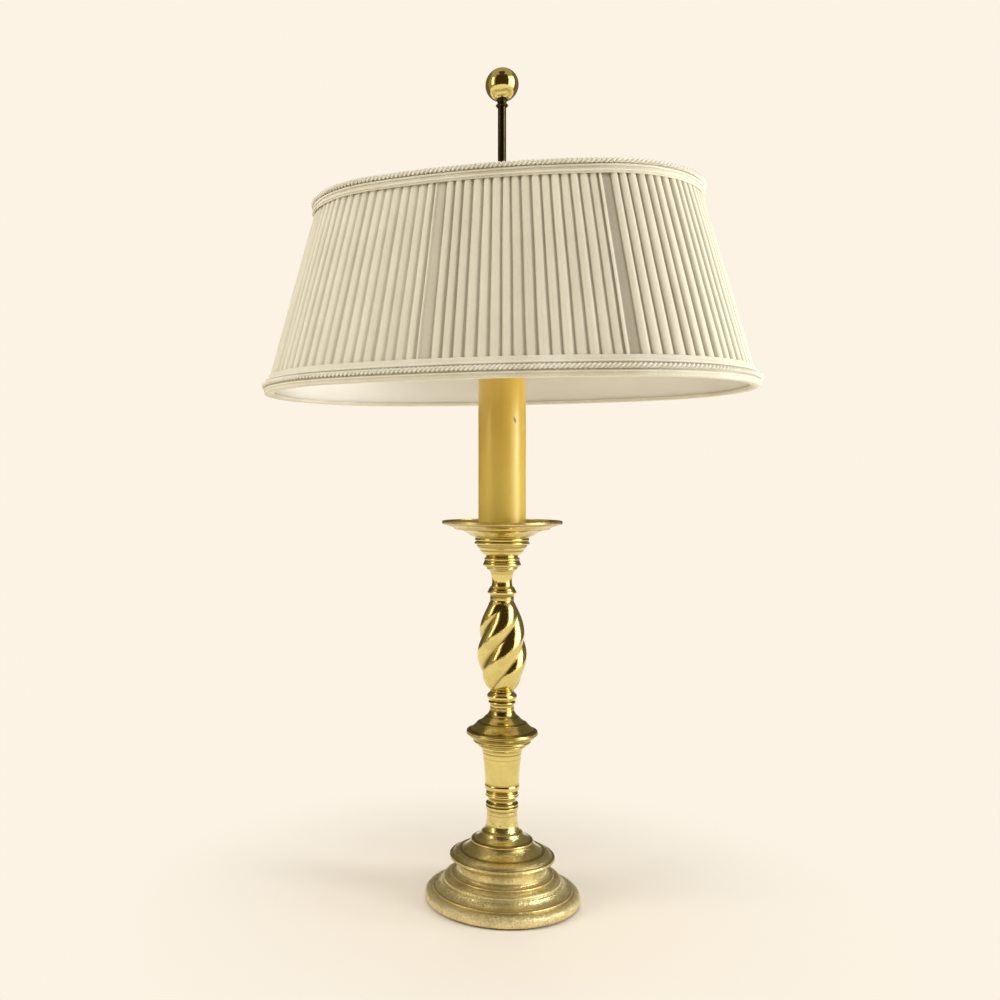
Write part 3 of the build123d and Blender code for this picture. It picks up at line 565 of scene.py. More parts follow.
def make_swirl(rows=220, around=256):
    """Body of round lobes that wind up by a constant lead, between two plain necks."""
    swirl_low = knop_low.z + knop_neck_height
    swirl_high = knop_high.z - knop_neck_height
    tall = swirl_high - swirl_low
    step = tau / knop_lobes
    neck_tone = 0.25
    groove_sharpness, groove_onset = 9, 9
    points, marks = [], []

    def add_neck(outline):
        for radius, height in outline:
            for index in range(around):
                angle = tau * index / around
                points.append((radius * cos(angle), radius * sin(angle), height))
                marks.append(neck_tone)

    low_neck = [(stem_bore, knop_low.z), (knop_neck_radius - knop_edge, knop_low.z),
                (knop_neck_radius, knop_low.z + knop_edge), (knop_neck_radius, swirl_low - knop_lap)]
    high_neck = [(knop_neck_radius, swirl_high + knop_lap), (knop_neck_radius, knop_high.z - knop_edge),
                 (knop_neck_radius - knop_edge, knop_high.z), (stem_bore, knop_high.z)]
    add_neck(low_neck)
    for row in range(rows + 1):
        share = row / rows
        swell = sin(pi * min(max(share, knop_end), 1 - knop_end)**knop_belly) ** knop_fullness
        peak = knop_neck_radius + (knop_radius - knop_neck_radius) * swell
        depth = knop_groove * sin(pi * share) ** 0.5
        valley = peak * (1 - depth)
        turn = knop_start + tau * share * tall / knop_lead
        # each lobe is an arc of a circle through two valleys and the peak between them
        half_chord = valley * sin(step / 2)
        rise = peak - valley * cos(step / 2)
        lobe_radius = (half_chord**2 + rise**2) / (2 * rise)
        lobe_centre = peak - lobe_radius
        for index in range(around):
            angle = tau * index / around
            beside = (angle - turn + step / 2) % step - step / 2
            radius = lobe_centre * cos(beside) + sqrt(max(lobe_radius**2 - (lobe_centre * sin(beside))**2, 0))
            points.append((radius * cos(angle), radius * sin(angle), swirl_low + share * tall))
            # polish stays dark only near the bottom of a groove
            marks.append((abs(beside) / (step / 2))**groove_sharpness * min(1.0, depth * groove_onset))
    add_neck(high_neck)
    rings = len(low_neck) + rows + 1 + len(high_neck)
    thing = make_mesh("swirl_knop_casting", points, ring_faces(rings, around, closed=True))
    mark_grooves(thing, marks)
    return thing


chased_brass = new_material("chased_brass", old_brass, {
    "Clean": clean_brass, "Tarnish": (0.16, 0.085, 0.018, 1), "Patina": 0.30, "Shine": 0.07,
    "Pit Size": 700.0, "Pit Depth": 0.00003, "Waviness": 0.0006}, Metallic=1.0)
stand_in(make_swirl(), "swirl_knop", chased_brass)

# ------------------------------------------------------------------ drip pan
# Turned brass pan that catches the wax of a real candle: a dished rim with a rolled edge, a
# stepped underside, and a spigot that centres the sleeve.
pan_low, pan_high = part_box("drip_pan")
candle_low, candle_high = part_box("candle_sleeve")
candle_wall = 1.1 * mm
pan_floor_share = 0.91
pan_floor = candle_low.z
spigot_play = 0.1 * mm
spigot_radius = candle_high.x - candle_wall - spigot_play
pan_height = (pan_floor - pan_low.z) / pan_floor_share
pan_stations = [
    (0.440, 0.00, 0), (0.520, 0.14, -0.12), (0.760, 0.50, -0.10), (0.790, 0.52, 0),
    (0.800, 0.60, 0), (0.975, 0.79, -0.03), (0.995, 0.84, 0.20), (1.000, 0.92, 0.20),
    (0.985, 1.00, 0.30), (0.955, 0.99, 0.10), (0.935, pan_floor_share, -0.15),
]
pan_outline = profile(pan_stations, pan_high.x, pan_low.z, pan_height) + [
    at(spigot_radius, pan_floor), at(spigot_radius, pan_high.z),
    at(stem_bore, pan_high.z), at(stem_bore, pan_low.z),
]
pan_brass = new_material("pan_brass", old_brass, {
    "Clean": clean_brass, "Tarnish": (0.22, 0.14, 0.05, 1), "Patina": 0.55, "Shine": 0.10,
    "Pit Size": 900.0, "Pit Depth": 0.00002, "Waviness": 0.0003}, Metallic=1.0)
pan = spin("drip_pan_turning", spread(soften(pan_outline), 1.5 * mm), segments=200)
stand_in(pan, "drip_pan", pan_brass)

# ------------------------------------------------------------------ candle sleeve
# Tube of honey-coloured wax-finished fibre over the pipe, which stands for a candle.  It is
# streaked along its length, with a small scorch and a glossy skin.


def make_wax_group():
    """Honey wax: lengthwise streaks, cloudy depth, painted shade deepening towards the top and one small
    brown scorch.
    """
    tree, takes, gives = new_group("honey_wax", {
        "Pale": ("Color", (0.7, 0.5, 0.15, 1)), "Deep": ("Color", (0.4, 0.2, 0.03, 1)),
        "Scorch": ("Color", (0.1, 0.04, 0.01, 1)), "Scorch Place": ("Vector", (0, 0, 0)),
        "Low": ("Float", 0.29), "High": ("Float", 0.40),
    }, {"Colour": "Color", "Roughness": "Float", "Height": "Float"})
    place = add_node(tree, "TexCoord").outputs["Object"]
    long_place = add_node(tree, "VectorMath", {0: place, 1: (1.0, 1.0, 0.06)},
                          operation="MULTIPLY").outputs[0]
    streaks = cloudy(tree, long_place, 260.0, detail=4.0)
    cloud = cloudy(tree, place, 60.0, detail=3.0)
    height = add_node(tree, "SeparateXYZ", {0: place}).outputs[2]
    # painted shade: the wax turns deeper in colour towards the top, where the lampshade keeps the light off
    rise = add_node(tree, "MapRange", {0: height, 1: takes["Low"], 2: takes["High"]}).outputs[0]
    deep = calc(tree, "MULTIPLY_ADD", streaks, 0.55, calc(tree, "MULTIPLY", rise, 0.45))
    deep = calc(tree, "ADD", deep, calc(tree, "MULTIPLY_ADD", cloud, 0.5, -0.35), clamp=True)
    body = mixed(tree, deep, takes["Pale"], takes["Deep"])
    offset = add_node(tree, "VectorMath", {0: place, 1: takes["Scorch Place"]},
                      operation="SUBTRACT").outputs[0]
    leaning = add_node(tree, "VectorRotate", {"Vector": offset, "Angle": 0.55},
                       rotation_type="Y_AXIS").outputs[0]
    squeezed = add_node(tree, "VectorMath", {0: leaning, 1: (1.0, 1.0, 0.28)},
                        operation="MULTIPLY").outputs[0]
    away = add_node(tree, "VectorMath", {0: squeezed}, operation="LENGTH").outputs["Value"]
    ragged = calc(tree, "MULTIPLY_ADD", streaks, 0.0008, away)
    scorch = add_node(tree, "MapRange", {0: ragged, 1: 0.0017, 2: 0.0009}).outputs[0]
    links = tree.links
    links.new(mixed(tree, scorch, body, takes["Scorch"]), gives["Colour"])
    links.new(calc(tree, "MULTIPLY_ADD", streaks, 0.12, 0.24), gives["Roughness"])
    links.new(calc(tree, "MULTIPLY", streaks, 0.00006), gives["Height"])
    return tree


scorch_turn = radians(42)
scorch_share = 0.68
scorch_place = (candle_high.x * sin(scorch_turn), -candle_high.x * cos(scorch_turn),
                candle_low.z + scorch_share * (candle_high.z - candle_low.z))
honey_wax = new_material("honey_wax", make_wax_group(), {
    "Pale": (0.70, 0.51, 0.085, 1), "Deep": (0.61, 0.34, 0.035, 1), "Scorch": (0.045, 0.015, 0.004, 1),
    "Scorch Place": scorch_place, "Low": candle_low.z, "High": candle_high.z},
    Coat_Weight=0.3, Coat_Roughness=0.16, Specular_Tint=(1.0, 0.94, 0.58, 1), IOR=1.9)
candle_outline = [
    at(candle_high.x, candle_low.z), at(candle_high.x, candle_high.z),
    at(candle_high.x - candle_wall, candle_high.z), at(candle_high.x - candle_wall, candle_low.z),
]
candle = spin("candle_tube", spread(soften(candle_outline, 0.4 * mm), 2 * mm), segments=160)
lump_size = 14 * mm
lump_stretch = 0.35
lump_depth = 0.12
for vertex in candle.data.vertices:
    swell = noise.noise(Vector((vertex.co.x, vertex.co.y, vertex.co.z * lump_stretch)) / lump_size)
    vertex.co += Vector((vertex.co.x, vertex.co.y, 0)).normalized() * swell * lump_depth * mm
stand_in(candle, "candle_sleeve", honey_wax)

# ------------------------------------------------------------------ cluster
# Brass cap and lock nut close the sleeve; on the pipe's end stands the turned two-light body,
# bored on each side for an arm and above for the rod.
dress("sleeve_cap", polished_brass)
dress("pipe_locknut", polished_brass)
dress("cluster_body", polished_brass, sharp=24)
dress("cluster_cap", polished_brass, sharp=24)

# ------------------------------------------------------------------ lamp holders
# On each arm a pressed brass cap and shell hold a dark moulded body with the contacts; a fluted
# turn knob on the front works the switch, and an opal globe bulb is screwed in.
socket_tilt = radians(50)
cluster_low, cluster_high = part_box("cluster_body")
cluster_centre = (cluster_low.z + cluster_high.z) / 2
cap_start, cap_length = 24.0 * mm, 12.0 * mm
shell_radius, shell_wall, shell_length = 15.0 * mm, 0.8 * mm, 28.0 * mm
insert_length = 25.0 * mm
lip_radius = 0.8 * mm
arm_radius = 4.9 * mm
bulb_base_radius, bulb_base_length = 6.8 * mm, 19.0 * mm
bulb_neck_radius, bulb_radius, bulb_neck_length, bulb_wall = 7.6 * mm, 19.0 * mm, 8.0 * mm, 0.8 * mm
shell_start = cap_start + cap_length
glass_start = shell_start + insert_length + 2 * lip_radius
contact_hole = 0.3 * mm
knob_hole_radius, knob_hole_length = 2.6 * mm, 8 * mm
phenolic = new_material("brown_phenolic", plain_surface, {
    "Colour": (0.030, 0.018, 0.012, 1), "Worn Colour": (0.06, 0.04, 0.03, 1), "Roughness": 0.3})
bulb_cap_metal = new_material("bulb_cap_metal", old_brass, {
    "Clean": (0.72, 0.62, 0.36, 1), "Tarnish": (0.3, 0.24, 0.12, 1), "Patina": 0.3, "Shine": 0.22},
    Metallic=1.0)
opal_glass = new_material("opal_glass", plain_surface, {
    "Colour": (0.86, 0.85, 0.82, 1), "Worn Colour": (0.80, 0.79, 0.75, 1), "Wear": 0.4,
    "Relief": 0.0, "Roughness": 0.12}, Coat_Weight=1.0, Coat_Roughness=0.04)


def curve_through(points, bulges):
    """Closed outline of lines and arcs; a bulge belongs to the run that ends at its point."""
    outline = []
    for index, first in enumerate(points):
        following = (index + 1) % len(points)
        outline += arc(first, points[following], bulges[following], steps=8)
    return outline


def holder_cap():
    """Pressed dome that grips the arm and slips into the shell."""
    end = cap_start + cap_length
    outer = shell_radius - shell_wall - 0.05 * mm
    grip = cap_start + 3.0 * mm
    return curve_through([
        at(arm_radius, cap_start), at(arm_radius + 2.2 * mm, cap_start), at(arm_radius + 3.0 * mm, grip),
        at(outer, end - 4.5 * mm), at(outer, end + 2.0 * mm), at(outer - shell_wall, end + 2.0 * mm),
        at(outer - shell_wall, end - 4.0 * mm), at(arm_radius + 2.4 * mm, grip + 0.8 * mm),
        at(arm_radius, grip + 0.8 * mm),
    ], [0, 0, 0.1, 0.22, 0, 0, 0, -0.18, 0])


def holder_shell():
    """Pressed tube with a bead near its lower end and a rolled lip."""
    end = shell_start + shell_length
    inner = shell_radius - shell_wall
    return curve_through([
        at(inner, shell_start), at(shell_radius, shell_start), at(shell_radius, shell_start + 2.0 * mm),
        at(shell_radius, shell_start + 3.6 * mm), at(shell_radius, end - 2 * lip_radius),
        at(shell_radius, end), at(inner, end),
    ], [0, 0, 0, 0.45, 0, 0.45, 0])


def bulb_cap():
    """Screw cap with rolled threads above its contact."""
    low = glass_start - bulb_base_length
    outline = [at(contact_hole, low), at(0.45 * bulb_base_radius, low + 1.5 * mm),
               at(0.95 * bulb_base_radius, low + 3.2 * mm)]
    threads, pitch, steps = 4, 2.6 * mm, 8
    for step in range(threads * steps + 1):
        height = low + 4.2 * mm + pitch * step / steps
        outline.append(at(bulb_base_radius - 0.35 * mm * (1 - cos(tau * step / steps)), height))
    return outline + [at(bulb_base_radius, glass_start), at(contact_hole, glass_start)]


def bulb_globe():
    """Outside and inside of the blown globe and its neck."""
    steps = 40
    centre = glass_start + bulb_neck_length + sqrt(bulb_radius**2 - bulb_neck_radius**2)
    faces = []
    for wall in (0.0, bulb_wall):
        neck, radius = bulb_neck_radius - wall, bulb_radius - wall
        low_angle = -pi / 2 + atan2(neck, centre - glass_start - bulb_neck_length)
        face = [at(neck, glass_start), at(neck, glass_start + 0.6 * bulb_neck_length)]
        for step in range(2, steps + 1):
            angle = low_angle + (pi / 2 - low_angle) * step / steps
            face.append(at(radius * cos(angle), centre + radius * sin(angle)))
        faces.append(face)
    outside, inside = faces
    return outside + inside[::-1]


for side, hand in ((-1, "left"), (1, "right")):
    holder = Matrix.Translation((0, 0, cluster_centre)) @ Matrix.Rotation(side * socket_tilt, 4, "Y")
    cap = spin(hand + "_holder_cap", soften(holder_cap()), segments=96, place=holder)
    stand_in(cap, hand + "_socket_cap", polished_brass)
    shell = spin(hand + "_holder_shell", soften(spread(holder_shell(), 2 * mm)), segments=128, place=holder)
    knob_low, knob_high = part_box(hand + "_switch_knob")
    knob_axis = (knob_low + knob_high) / 2
    knob_place = Vector((knob_axis.x, -shell_radius, knob_axis.z))
    bore_hole(shell, knob_place, (0, 1, 0), knob_hole_radius, knob_hole_length)
    stand_in(shell, hand + "_socket_shell", polished_brass)
    screw = spin(hand + "_bulb_screw", bulb_cap(), segments=72, place=holder)
    stand_in(screw, hand + "_bulb_base", bulb_cap_metal)
    globe = spin(hand + "_bulb_globe", bulb_globe(), segments=96, place=holder)
    stand_in(globe, hand + "_bulb_glass", opal_glass)
    dress(hand + "_socket_arm", polished_brass)
    dress(hand + "_socket_insert", phenolic)
    dress(hand + "_switch_knob", phenolic, sharp=28)

# ------------------------------------------------------------------ rod and finial
# Dark aged brass rod screwed into the cluster; a small turned collar and a polished ball close
# its upper end.
aged_brass = new_material("aged_brass", old_brass, {
    "Clean": (0.062, 0.046, 0.015, 1), "Tarnish": (0.022, 0.016, 0.007, 1), "Patina": 0.8, "Shine": 0.24,
    "Pit Size": 1300.0, "Pit Depth": 0.00002, "Waviness": 0.00005}, Metallic=1.0)
dress("rod", aged_brass)
rod_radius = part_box("rod")[1].x
finial_stations = [
    (0.85, 0.00, 0), (1.00, 0.12, 0.20), (1.00, 0.34, 0.30), (0.84, 0.42, 0),
    (0.84, 0.78, -0.10), (1.05, 1.00, -0.15),
]
finial_outline = soften(turned_outline("finial_collar", finial_stations, rod_radius), 0.15 * mm)
stand_in(spin("finial_collar_turning", finial_outline, segments=72), "finial_collar", aged_brass)
ball_low, ball_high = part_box("finial_ball")
ball_radius = ball_high.x
ball_centre = ball_high.z - ball_radius
seat_angle = atan2(ball_low.z - ball_centre, sqrt(ball_radius**2 - (ball_centre - ball_low.z)**2))
ball_bore_depth = 8 * mm
ball_steps = 72
ball_outline = [at(rod_radius, ball_low.z)]
for step in range(ball_steps + 1):
    angle = seat_angle + (pi / 2 - seat_angle) * step / ball_steps
    ball_outline.append(at(ball_radius * cos(angle), ball_centre + ball_radius * sin(angle)))
ball_outline += [at(0, ball_low.z + ball_bore_depth), at(rod_radius, ball_low.z + ball_bore_depth)]
ball_brass = new_material("ball_brass", old_brass, {
    "Clean": clean_brass, "Tarnish": brown_tarnish, "Patina": 0.12, "Shine": 0.05,
    "Pit Size": 1500.0, "Pit Depth": 0.00001, "Waviness": 0.0001}, Metallic=1.0)
stand_in(spin("finial_ball_turning", ball_outline, segments=128), "finial_ball", ball_brass)

# ------------------------------------------------------------------ slide collar
# Turned brass collar that slides on the rod, with a ring nut above the shade's hub and a thumb
# screw with a flat key at the back that holds it at any height.
dress("slide_collar", polished_brass, sharp=24)
dress("collar_nut", polished_brass)
dress("thumb_screw", polished_brass, sharp=28)

# ------------------------------------------------------------------ shade frame
# White enamelled wire: a hub, four spider arms, a top and a bottom ring and seven ribs, welded.
# The rings are bound into the trims, and the arms and hub show from above.
enamel = new_material("white_enamel", plain_surface, {
    "Colour": (0.74, 0.71, 0.62, 1), "Worn Colour": (0.50, 0.42, 0.28, 1), "Wear": 0.35,
    "Roughness": 0.32}, Coat_Weight=0.3)
for node in ("spider_hub", "spider_arms", "top_ring", "bottom_ring", "ribs"):
    dress(node, enamel)

# ------------------------------------------------------------------ shade lining
# Smooth off-white cloth, stretched over the inside of the frame and sewn to both rings.
oval_fullness = 0.92
ring_wire_radius = 1.3 * mm
ring_offset = -1.5 * mm
panels = 7
first_seam = 0.148
cover_low, cover_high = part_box("pleated_skin")
top_ring_low, top_ring_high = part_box("top_ring")
bottom_ring_low, bottom_ring_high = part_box("bottom_ring")
ring_edge = ring_offset + ring_wire_radius
low_level = (bottom_ring_low.z + bottom_ring_high.z) / 2
high_level = (top_ring_low.z + top_ring_high.z) / 2
low_half = (bottom_ring_high.x - ring_edge, bottom_ring_high.y - ring_edge)
high_half = (top_ring_high.x - ring_edge, top_ring_high.y - ring_edge)


def oval_point(height, share, offset=0.0):
    """Point on the shade's four-centred oval, by the share of its girth from +X round the front."""
    level = (height - low_level) / (high_level - low_level)
    half_length = low_half[0] + level * (high_half[0] - low_half[0])
    half_depth = low_half[1] + level * (high_half[1] - low_half[1])
    end_radius = oval_fullness * half_depth
    reach = half_length - end_radius
    side_radius = (reach**2 + half_depth**2 - end_radius**2) / (2 * (half_depth - end_radius))
    drop = side_radius - half_depth
    end_angle = atan2(drop, reach)
    quarter_end = end_radius * end_angle
    quarter = quarter_end + side_radius * (pi / 2 - end_angle)
    turn = share % 1.0
    behind = turn > 0.5
    turn = 1.0 - turn if behind else turn
    left = turn > 0.25
    turn = 0.5 - turn if left else turn
    run = turn * 4 * quarter
    if run < quarter_end:
        angle, middle, radius = run / end_radius, (reach, 0.0), end_radius
    else:
        angle = end_angle + (run - quarter_end) / side_radius
        middle, radius = (0.0, -drop), side_radius
    x = middle[0] + (radius + offset) * cos(angle)
    y = middle[1] + (radius + offset) * sin(angle)
    return Vector((-x if left else x, y if behind else -y, height))


def girth(height, steps=400):
    """Length once round the oval at a height."""
    around = [oval_point(height, step / steps) for step in range(steps)]
    return sum((around[step] - around[step - 1]).length for step in range(steps))


def carried_round(name, rows, around):
    """Mesh of (height, offset) rows carried round the oval; it is closed if it ends with its first row."""
    points = [oval_point(height, step / around, offset)
              for height, offset in rows for step in range(around)]
    return make_mesh(name, points, ring_faces(len(rows), around, flipped=True))


lining_low, lining_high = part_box("shade_lining")
lining_cloth = new_material("lining_cloth", woven_cloth, {
    "Colour": (0.85, 0.83, 0.765, 1), "Shade Colour": (0.72, 0.69, 0.60, 1),
    "Threads": 2600.0, "Unevenness": 0.35, "Relief": 0.00002}, Sheen_Weight=0.15)
lining_outside, lining_inside = -3.1 * mm, -3.7 * mm
lining_bands = 12
lining_levels = [lining_low.z + (lining_high.z - lining_low.z) * row / lining_bands
                 for row in range(lining_bands + 1)]
lining_rows = [(height, lining_outside) for height in lining_levels]
lining_rows += [(height, lining_inside) for height in reversed(lining_levels)]
lining = carried_round("lining_wall", lining_rows + lining_rows[:1], around=420)
weld(lining)
stand_in(lining, "shade_lining", lining_cloth)

# ------------------------------------------------------------------ pleated cover
# Ivory cloth laid by hand in round pleats, seventeen to a panel, and tucked under at each groove.
# Seven panels meet at seams over the ribs, each a flat tuck with a fine raised edge.
pleats_per_panel = 17
pleat_count = panels * pleats_per_panel
cover_bottom, cover_top = cover_low.z, cover_high.z
random.seed(11)
pleat_shift = [random.uniform(-0.055, 0.055) for _ in range(pleat_count)]
pleat_lift = [random.uniform(-0.14, 0.14) for _ in range(pleat_count)]
pleat_lean = [random.uniform(-0.05, 0.05) for _ in range(pleat_count)]
pleat_profile = [
    (0.015, 0.12), (0.045, 0.20), (0.09, 0.44), (0.135, 0.86), (0.18, 1.26), (0.235, 1.58), (0.31, 1.79),
    (0.40, 1.88), (0.50, 1.92), (0.60, 1.90), (0.69, 1.80), (0.765, 1.58), (0.82, 1.26), (0.865, 0.86),
    (0.91, 0.46), (0.95, 0.28), (0.80, 0.24), (0.60, 0.20), (0.575, 0.14), (0.60, 0.08), (0.80, 0.05),
    (0.985, 0.06),
]
seam_profile = [
    (0.015, 0.12), (0.05, 0.34), (0.10, 0.56), (0.18, 0.72), (0.28, 0.80), (0.38, 0.84), (0.48, 0.86),
    (0.58, 0.86), (0.65, 0.92), (0.70, 1.10), (0.74, 1.50), (0.78, 1.86), (0.825, 1.96), (0.865, 1.86),
    (0.90, 1.30), (0.935, 0.40), (0.80, 0.24), (0.68, 0.20), (0.64, 0.14), (0.68, 0.08), (0.82, 0.05),
    (0.985, 0.06),
]
pleat_depth = 1.12 * mm
lowest_lifted = 0.5
edge_wander, loft_wander = 0.05, 0.12
pressed, press_start = 0.25, 0.86
seam_ridge = 0.95
# painted shade for the cover's groove marks: deeper the lower a point lies in a groove, a random share on
# each pleat for pleats tilted differently to the light, and a painted shadow on each seam's flat tuck,
# deepest on the last seam
unshaded_rise, shade_falloff = 1.8, 1.2
pleat_shade = [random.uniform(0.0, 0.22) for _ in range(pleat_count)]
seam_shade = [0.18, 0.30, 0.30, 0.30, 0.30, 0.30, 1.35]
panel_loft = [1.00, 0.74, 0.90, 1.00, 1.00, 0.95, 1.00]
# the flat tuck at each seam is wider than a pleat
for seam in range(pleats_per_panel - 1, pleat_count, pleats_per_panel):
    pleat_shift[seam] = -0.14
    pleat_shift[(seam + 1) % pleat_count] = 0.16


def pleat_edge(share_up, pleat):
    """How far a pleat's first edge lies from its even place, in shares of a pleat."""
    wander = edge_wander * noise.noise(Vector((pleat * 1.7, share_up * 2.6, 3.0)))
    return pleat_shift[pleat] + pleat_lean[pleat] * (share_up - 0.5) + wander


def pleat_point(share_up, pleat, step, rise):
    """Point of the cover: share_up of its height, and a step and rise within one pleat."""
    height = cover_bottom + share_up * (cover_top - cover_bottom)
    here = pleat_edge(share_up, pleat)
    there = pleat_edge(share_up, (pleat + 1) % pleat_count)
    along = pleat + here * (1 - step) + (1 + there) * step
    loft = panel_loft[pleat // pleats_per_panel]
    wander = loft_wander * noise.noise(Vector((pleat * 2.3, share_up * 3.4, 9.0)))
    lift = loft + pleat_lift[pleat] + wander
    # the trims press the pleats a little flat at both edges
    held = 1 - pressed * max(0.0, abs(share_up - 0.5) * 2 - press_start) / (1 - press_start)
    full = rise * lift * held if rise > lowest_lifted else rise
    return oval_point(height, first_seam + along / pleat_count, full * pleat_depth)


def make_cover(rows=40):
    """Cover of pleats in their panels, with painted shade in its grooves and painted shadow on its seams."""
    points, marks = [], []
    around = pleat_count * len(pleat_profile)
    for row in range(rows + 1):
        for pleat in range(pleat_count):
            panel, place = divmod(pleat, pleats_per_panel)
            last = place == pleats_per_panel - 1
            for step, rise in (seam_profile if last else pleat_profile):
                points.append(pleat_point(row / rows, pleat, step, rise))
                # painted shade in the groove, weaker on the flatter panels; on a seam's tuck a painted
                # shadow, on other pleats a random painted shade
                hollow = panel_loft[panel]**2 * max(0.0, 1 - rise / unshaded_rise)**shade_falloff
                tone = pleat_shade[pleat]
                if last:
                    tone = seam_shade[panel] if rise < seam_ridge else 0.0
                marks.append(hollow + tone * (1 - hollow))
    thing = make_mesh("pleated_cover", points, ring_faces(rows + 1, around))
    mark_grooves(thing, marks)
    return thing


# Shade Colour is the colour of the painted shade in the grooves; the fold value sets how strong it is
ivory_cloth = new_material("ivory_cloth", woven_cloth, {
    "Colour": (0.80, 0.745, 0.59, 1), "Shade Colour": (0.30, 0.265, 0.18, 1),
    "Threads": 1700.0, "Along": (1.0, 1.0, 0.35), "Unevenness": 0.14, "Relief": 0.00003,
    "Fold Dirt": 0.58}, Sheen_Weight=0.12, Sheen_Roughness=0.4)
cover = stand_in(make_cover(), "pleated_skin", ivory_cloth)

# ------------------------------------------------------------------ trims
# A woven braid is glued over each edge of the shade and folded under the ring.  On it lie a
# twisted two-strand rope and thin corded beads, all in the ivory of the cover.
trim_cloth = new_material("trim_cloth", woven_cloth, {
    "Colour": (0.84, 0.79, 0.64, 1), "Shade Colour": (0.52, 0.46, 0.30, 1),
    "Threads": 1500.0, "Unevenness": 0.55, "Relief": 0.00008}, Sheen_Weight=0.2)
cord_cloth = new_material("cord_cloth", woven_cloth, {
    "Colour": (0.88, 0.85, 0.73, 1), "Shade Colour": (0.56, 0.50, 0.34, 1),
    "Threads": 1900.0, "Unevenness": 0.5, "Relief": 0.00008}, Sheen_Weight=0.3)


upward = Vector((0, 0, 1))


def beside_oval(height, share, offset):
    """Point at an offset from the oval, and the level direction outwards there."""
    middle = oval_point(height, share, offset)
    return middle, (oval_point(height, share, offset + mm) - middle).normalized()


def cords_round_oval(name, cords, face, bead=0.10, lay=1.6 * mm, sides=10, around=2200):
    """Thin cords laid on the braid's face at their heights, with the small swellings of their twist."""
    points, faces = [], []
    for height, radius in cords:
        first = len(points)
        turns = round(girth(height) / lay)
        for step in range(around):
            share = step / around
            middle, outward = beside_oval(height, share, face + radius)
            for side in range(sides):
                angle = tau * side / sides
                swell = radius * (1 + bead * cos(tau * turns * share + angle))
                points.append(middle + (outward * cos(angle) + upward * sin(angle)) * swell)
        faces += ring_faces(around, sides, closed=True, first=first, flipped=True)
    return make_mesh(name, points, faces)


strand_share = 0.56


def rope_round_oval(name, height, offset, radius, lay=6.4 * mm, strands=2, sides=8, steps=14):
    """Twisted rope: round strands that wind about each other as they follow the oval."""
    turns = round(girth(height) / lay)
    strand = radius * strand_share
    points, faces = [], []
    around = turns * steps
    for index in range(strands):
        first = len(points)
        for step in range(around):
            share = step / around
            middle, outward = beside_oval(height, share, offset)
            twist = -tau * turns * share + tau * index / strands
            centre = middle + (outward * cos(twist) + upward * sin(twist)) * (radius - strand)
            for side in range(sides):
                angle = tau * side / sides
                points.append(centre + (outward * cos(angle) + upward * sin(angle)) * strand)
        faces += ring_faces(around, sides, closed=True, first=first, flipped=True)
    return make_mesh(name, points, faces)


bottom_edge, bottom_top = (corner.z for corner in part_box("bottom_band"))
top_bottom, top_edge = (corner.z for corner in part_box("top_band"))
braid_low, braid_high = 2.2 * mm, 2.95 * mm


def braid_section(edge, end, flap, inside):
    """Closed section of a braid: face, fold round the ring and flap; flap and inside are in mm."""
    way = mm if end > edge else -mm
    section = [
        (end, braid_low), (end, braid_high - 0.2 * mm), (end - 0.4 * way, braid_high),
        (edge + 0.9 * way, braid_high), (edge + 0.3 * way, braid_high - 0.3 * mm),
        (edge, braid_low - 0.6 * mm), (edge, -2.6 * mm), (edge + 0.4 * way, -3.6 * mm),
        (edge + 1.2 * way, -4.2 * mm), (edge + flap * way, -(inside + 0.4) * mm),
        (edge + flap * way, -inside * mm), (edge + 1.6 * way, -3.8 * mm), (edge + 0.55 * way, -2.4 * mm),
        (edge + 0.5 * way, braid_low - 0.7 * mm), (edge + 1.2 * way, braid_low), (end, braid_low),
    ]
    return section if end > edge else section[::-1]


bottom_section = braid_section(bottom_edge, bottom_top, flap=2.6, inside=3.8)
stand_in(carried_round("bottom_braid", bottom_section, around=480), "bottom_band", trim_cloth)
top_section = braid_section(top_edge, top_bottom, flap=6.0, inside=3.9)
stand_in(carried_round("top_braid", top_section, around=480), "top_band", trim_cloth)
rope_radius = 1.95 * mm
on_braid = braid_high - 0.05 * mm
rope_offset = on_braid + rope_radius
bottom_rope = rope_round_oval("bottom_rope_twist", bottom_edge + 6.7 * mm, rope_offset, rope_radius)
stand_in(bottom_rope, "bottom_rope", cord_cloth)
top_rope = rope_round_oval("top_rope_twist", top_edge - 2.0 * mm, rope_offset, rope_radius)
stand_in(top_rope, "top_rope", cord_cloth)
bottom_cords = cords_round_oval("bottom_cords_laid", [
    (bottom_edge + 9.9 * mm, 0.9 * mm), (bottom_edge + 3.4 * mm, 0.7 * mm)], on_braid)
stand_in(bottom_cords, "bottom_cords", cord_cloth)
top_cords = cords_round_oval("top_cords_laid", [
    (top_edge - 5.0 * mm, 0.75 * mm), (top_edge - 8.6 * mm, 0.65 * mm)], on_braid)
stand_in(top_cords, "top_cords", cord_cloth)

# ------------------------------------------------------------------ studio
# Pale floor that fades into a pale surround, and five soft lamps: two on the right, one on the
# left, one in front from above and one behind.  Bright and dark cards show only in reflections.
cream = (0.973, 0.896, 0.776)
floor_radius = 30.0
shadow_near, shadow_far = 0.08, 0.32


def seen_rays(tree):
    """1 for the camera's own rays and for those that reach it over metal or through glass, else 0."""
    path = add_node(tree, "LightPath").outputs
    return calc(tree, "MAXIMUM", path["Is Camera Ray"],
                calc(tree, "MAXIMUM", path["Is Glossy Ray"], path["Is Transmission Ray"]))


def emptied(owner):
    """Node tree of a material or world, ready for nodes of its own."""
    owner.use_nodes = True
    owner.node_tree.nodes.clear()
    return owner.node_tree


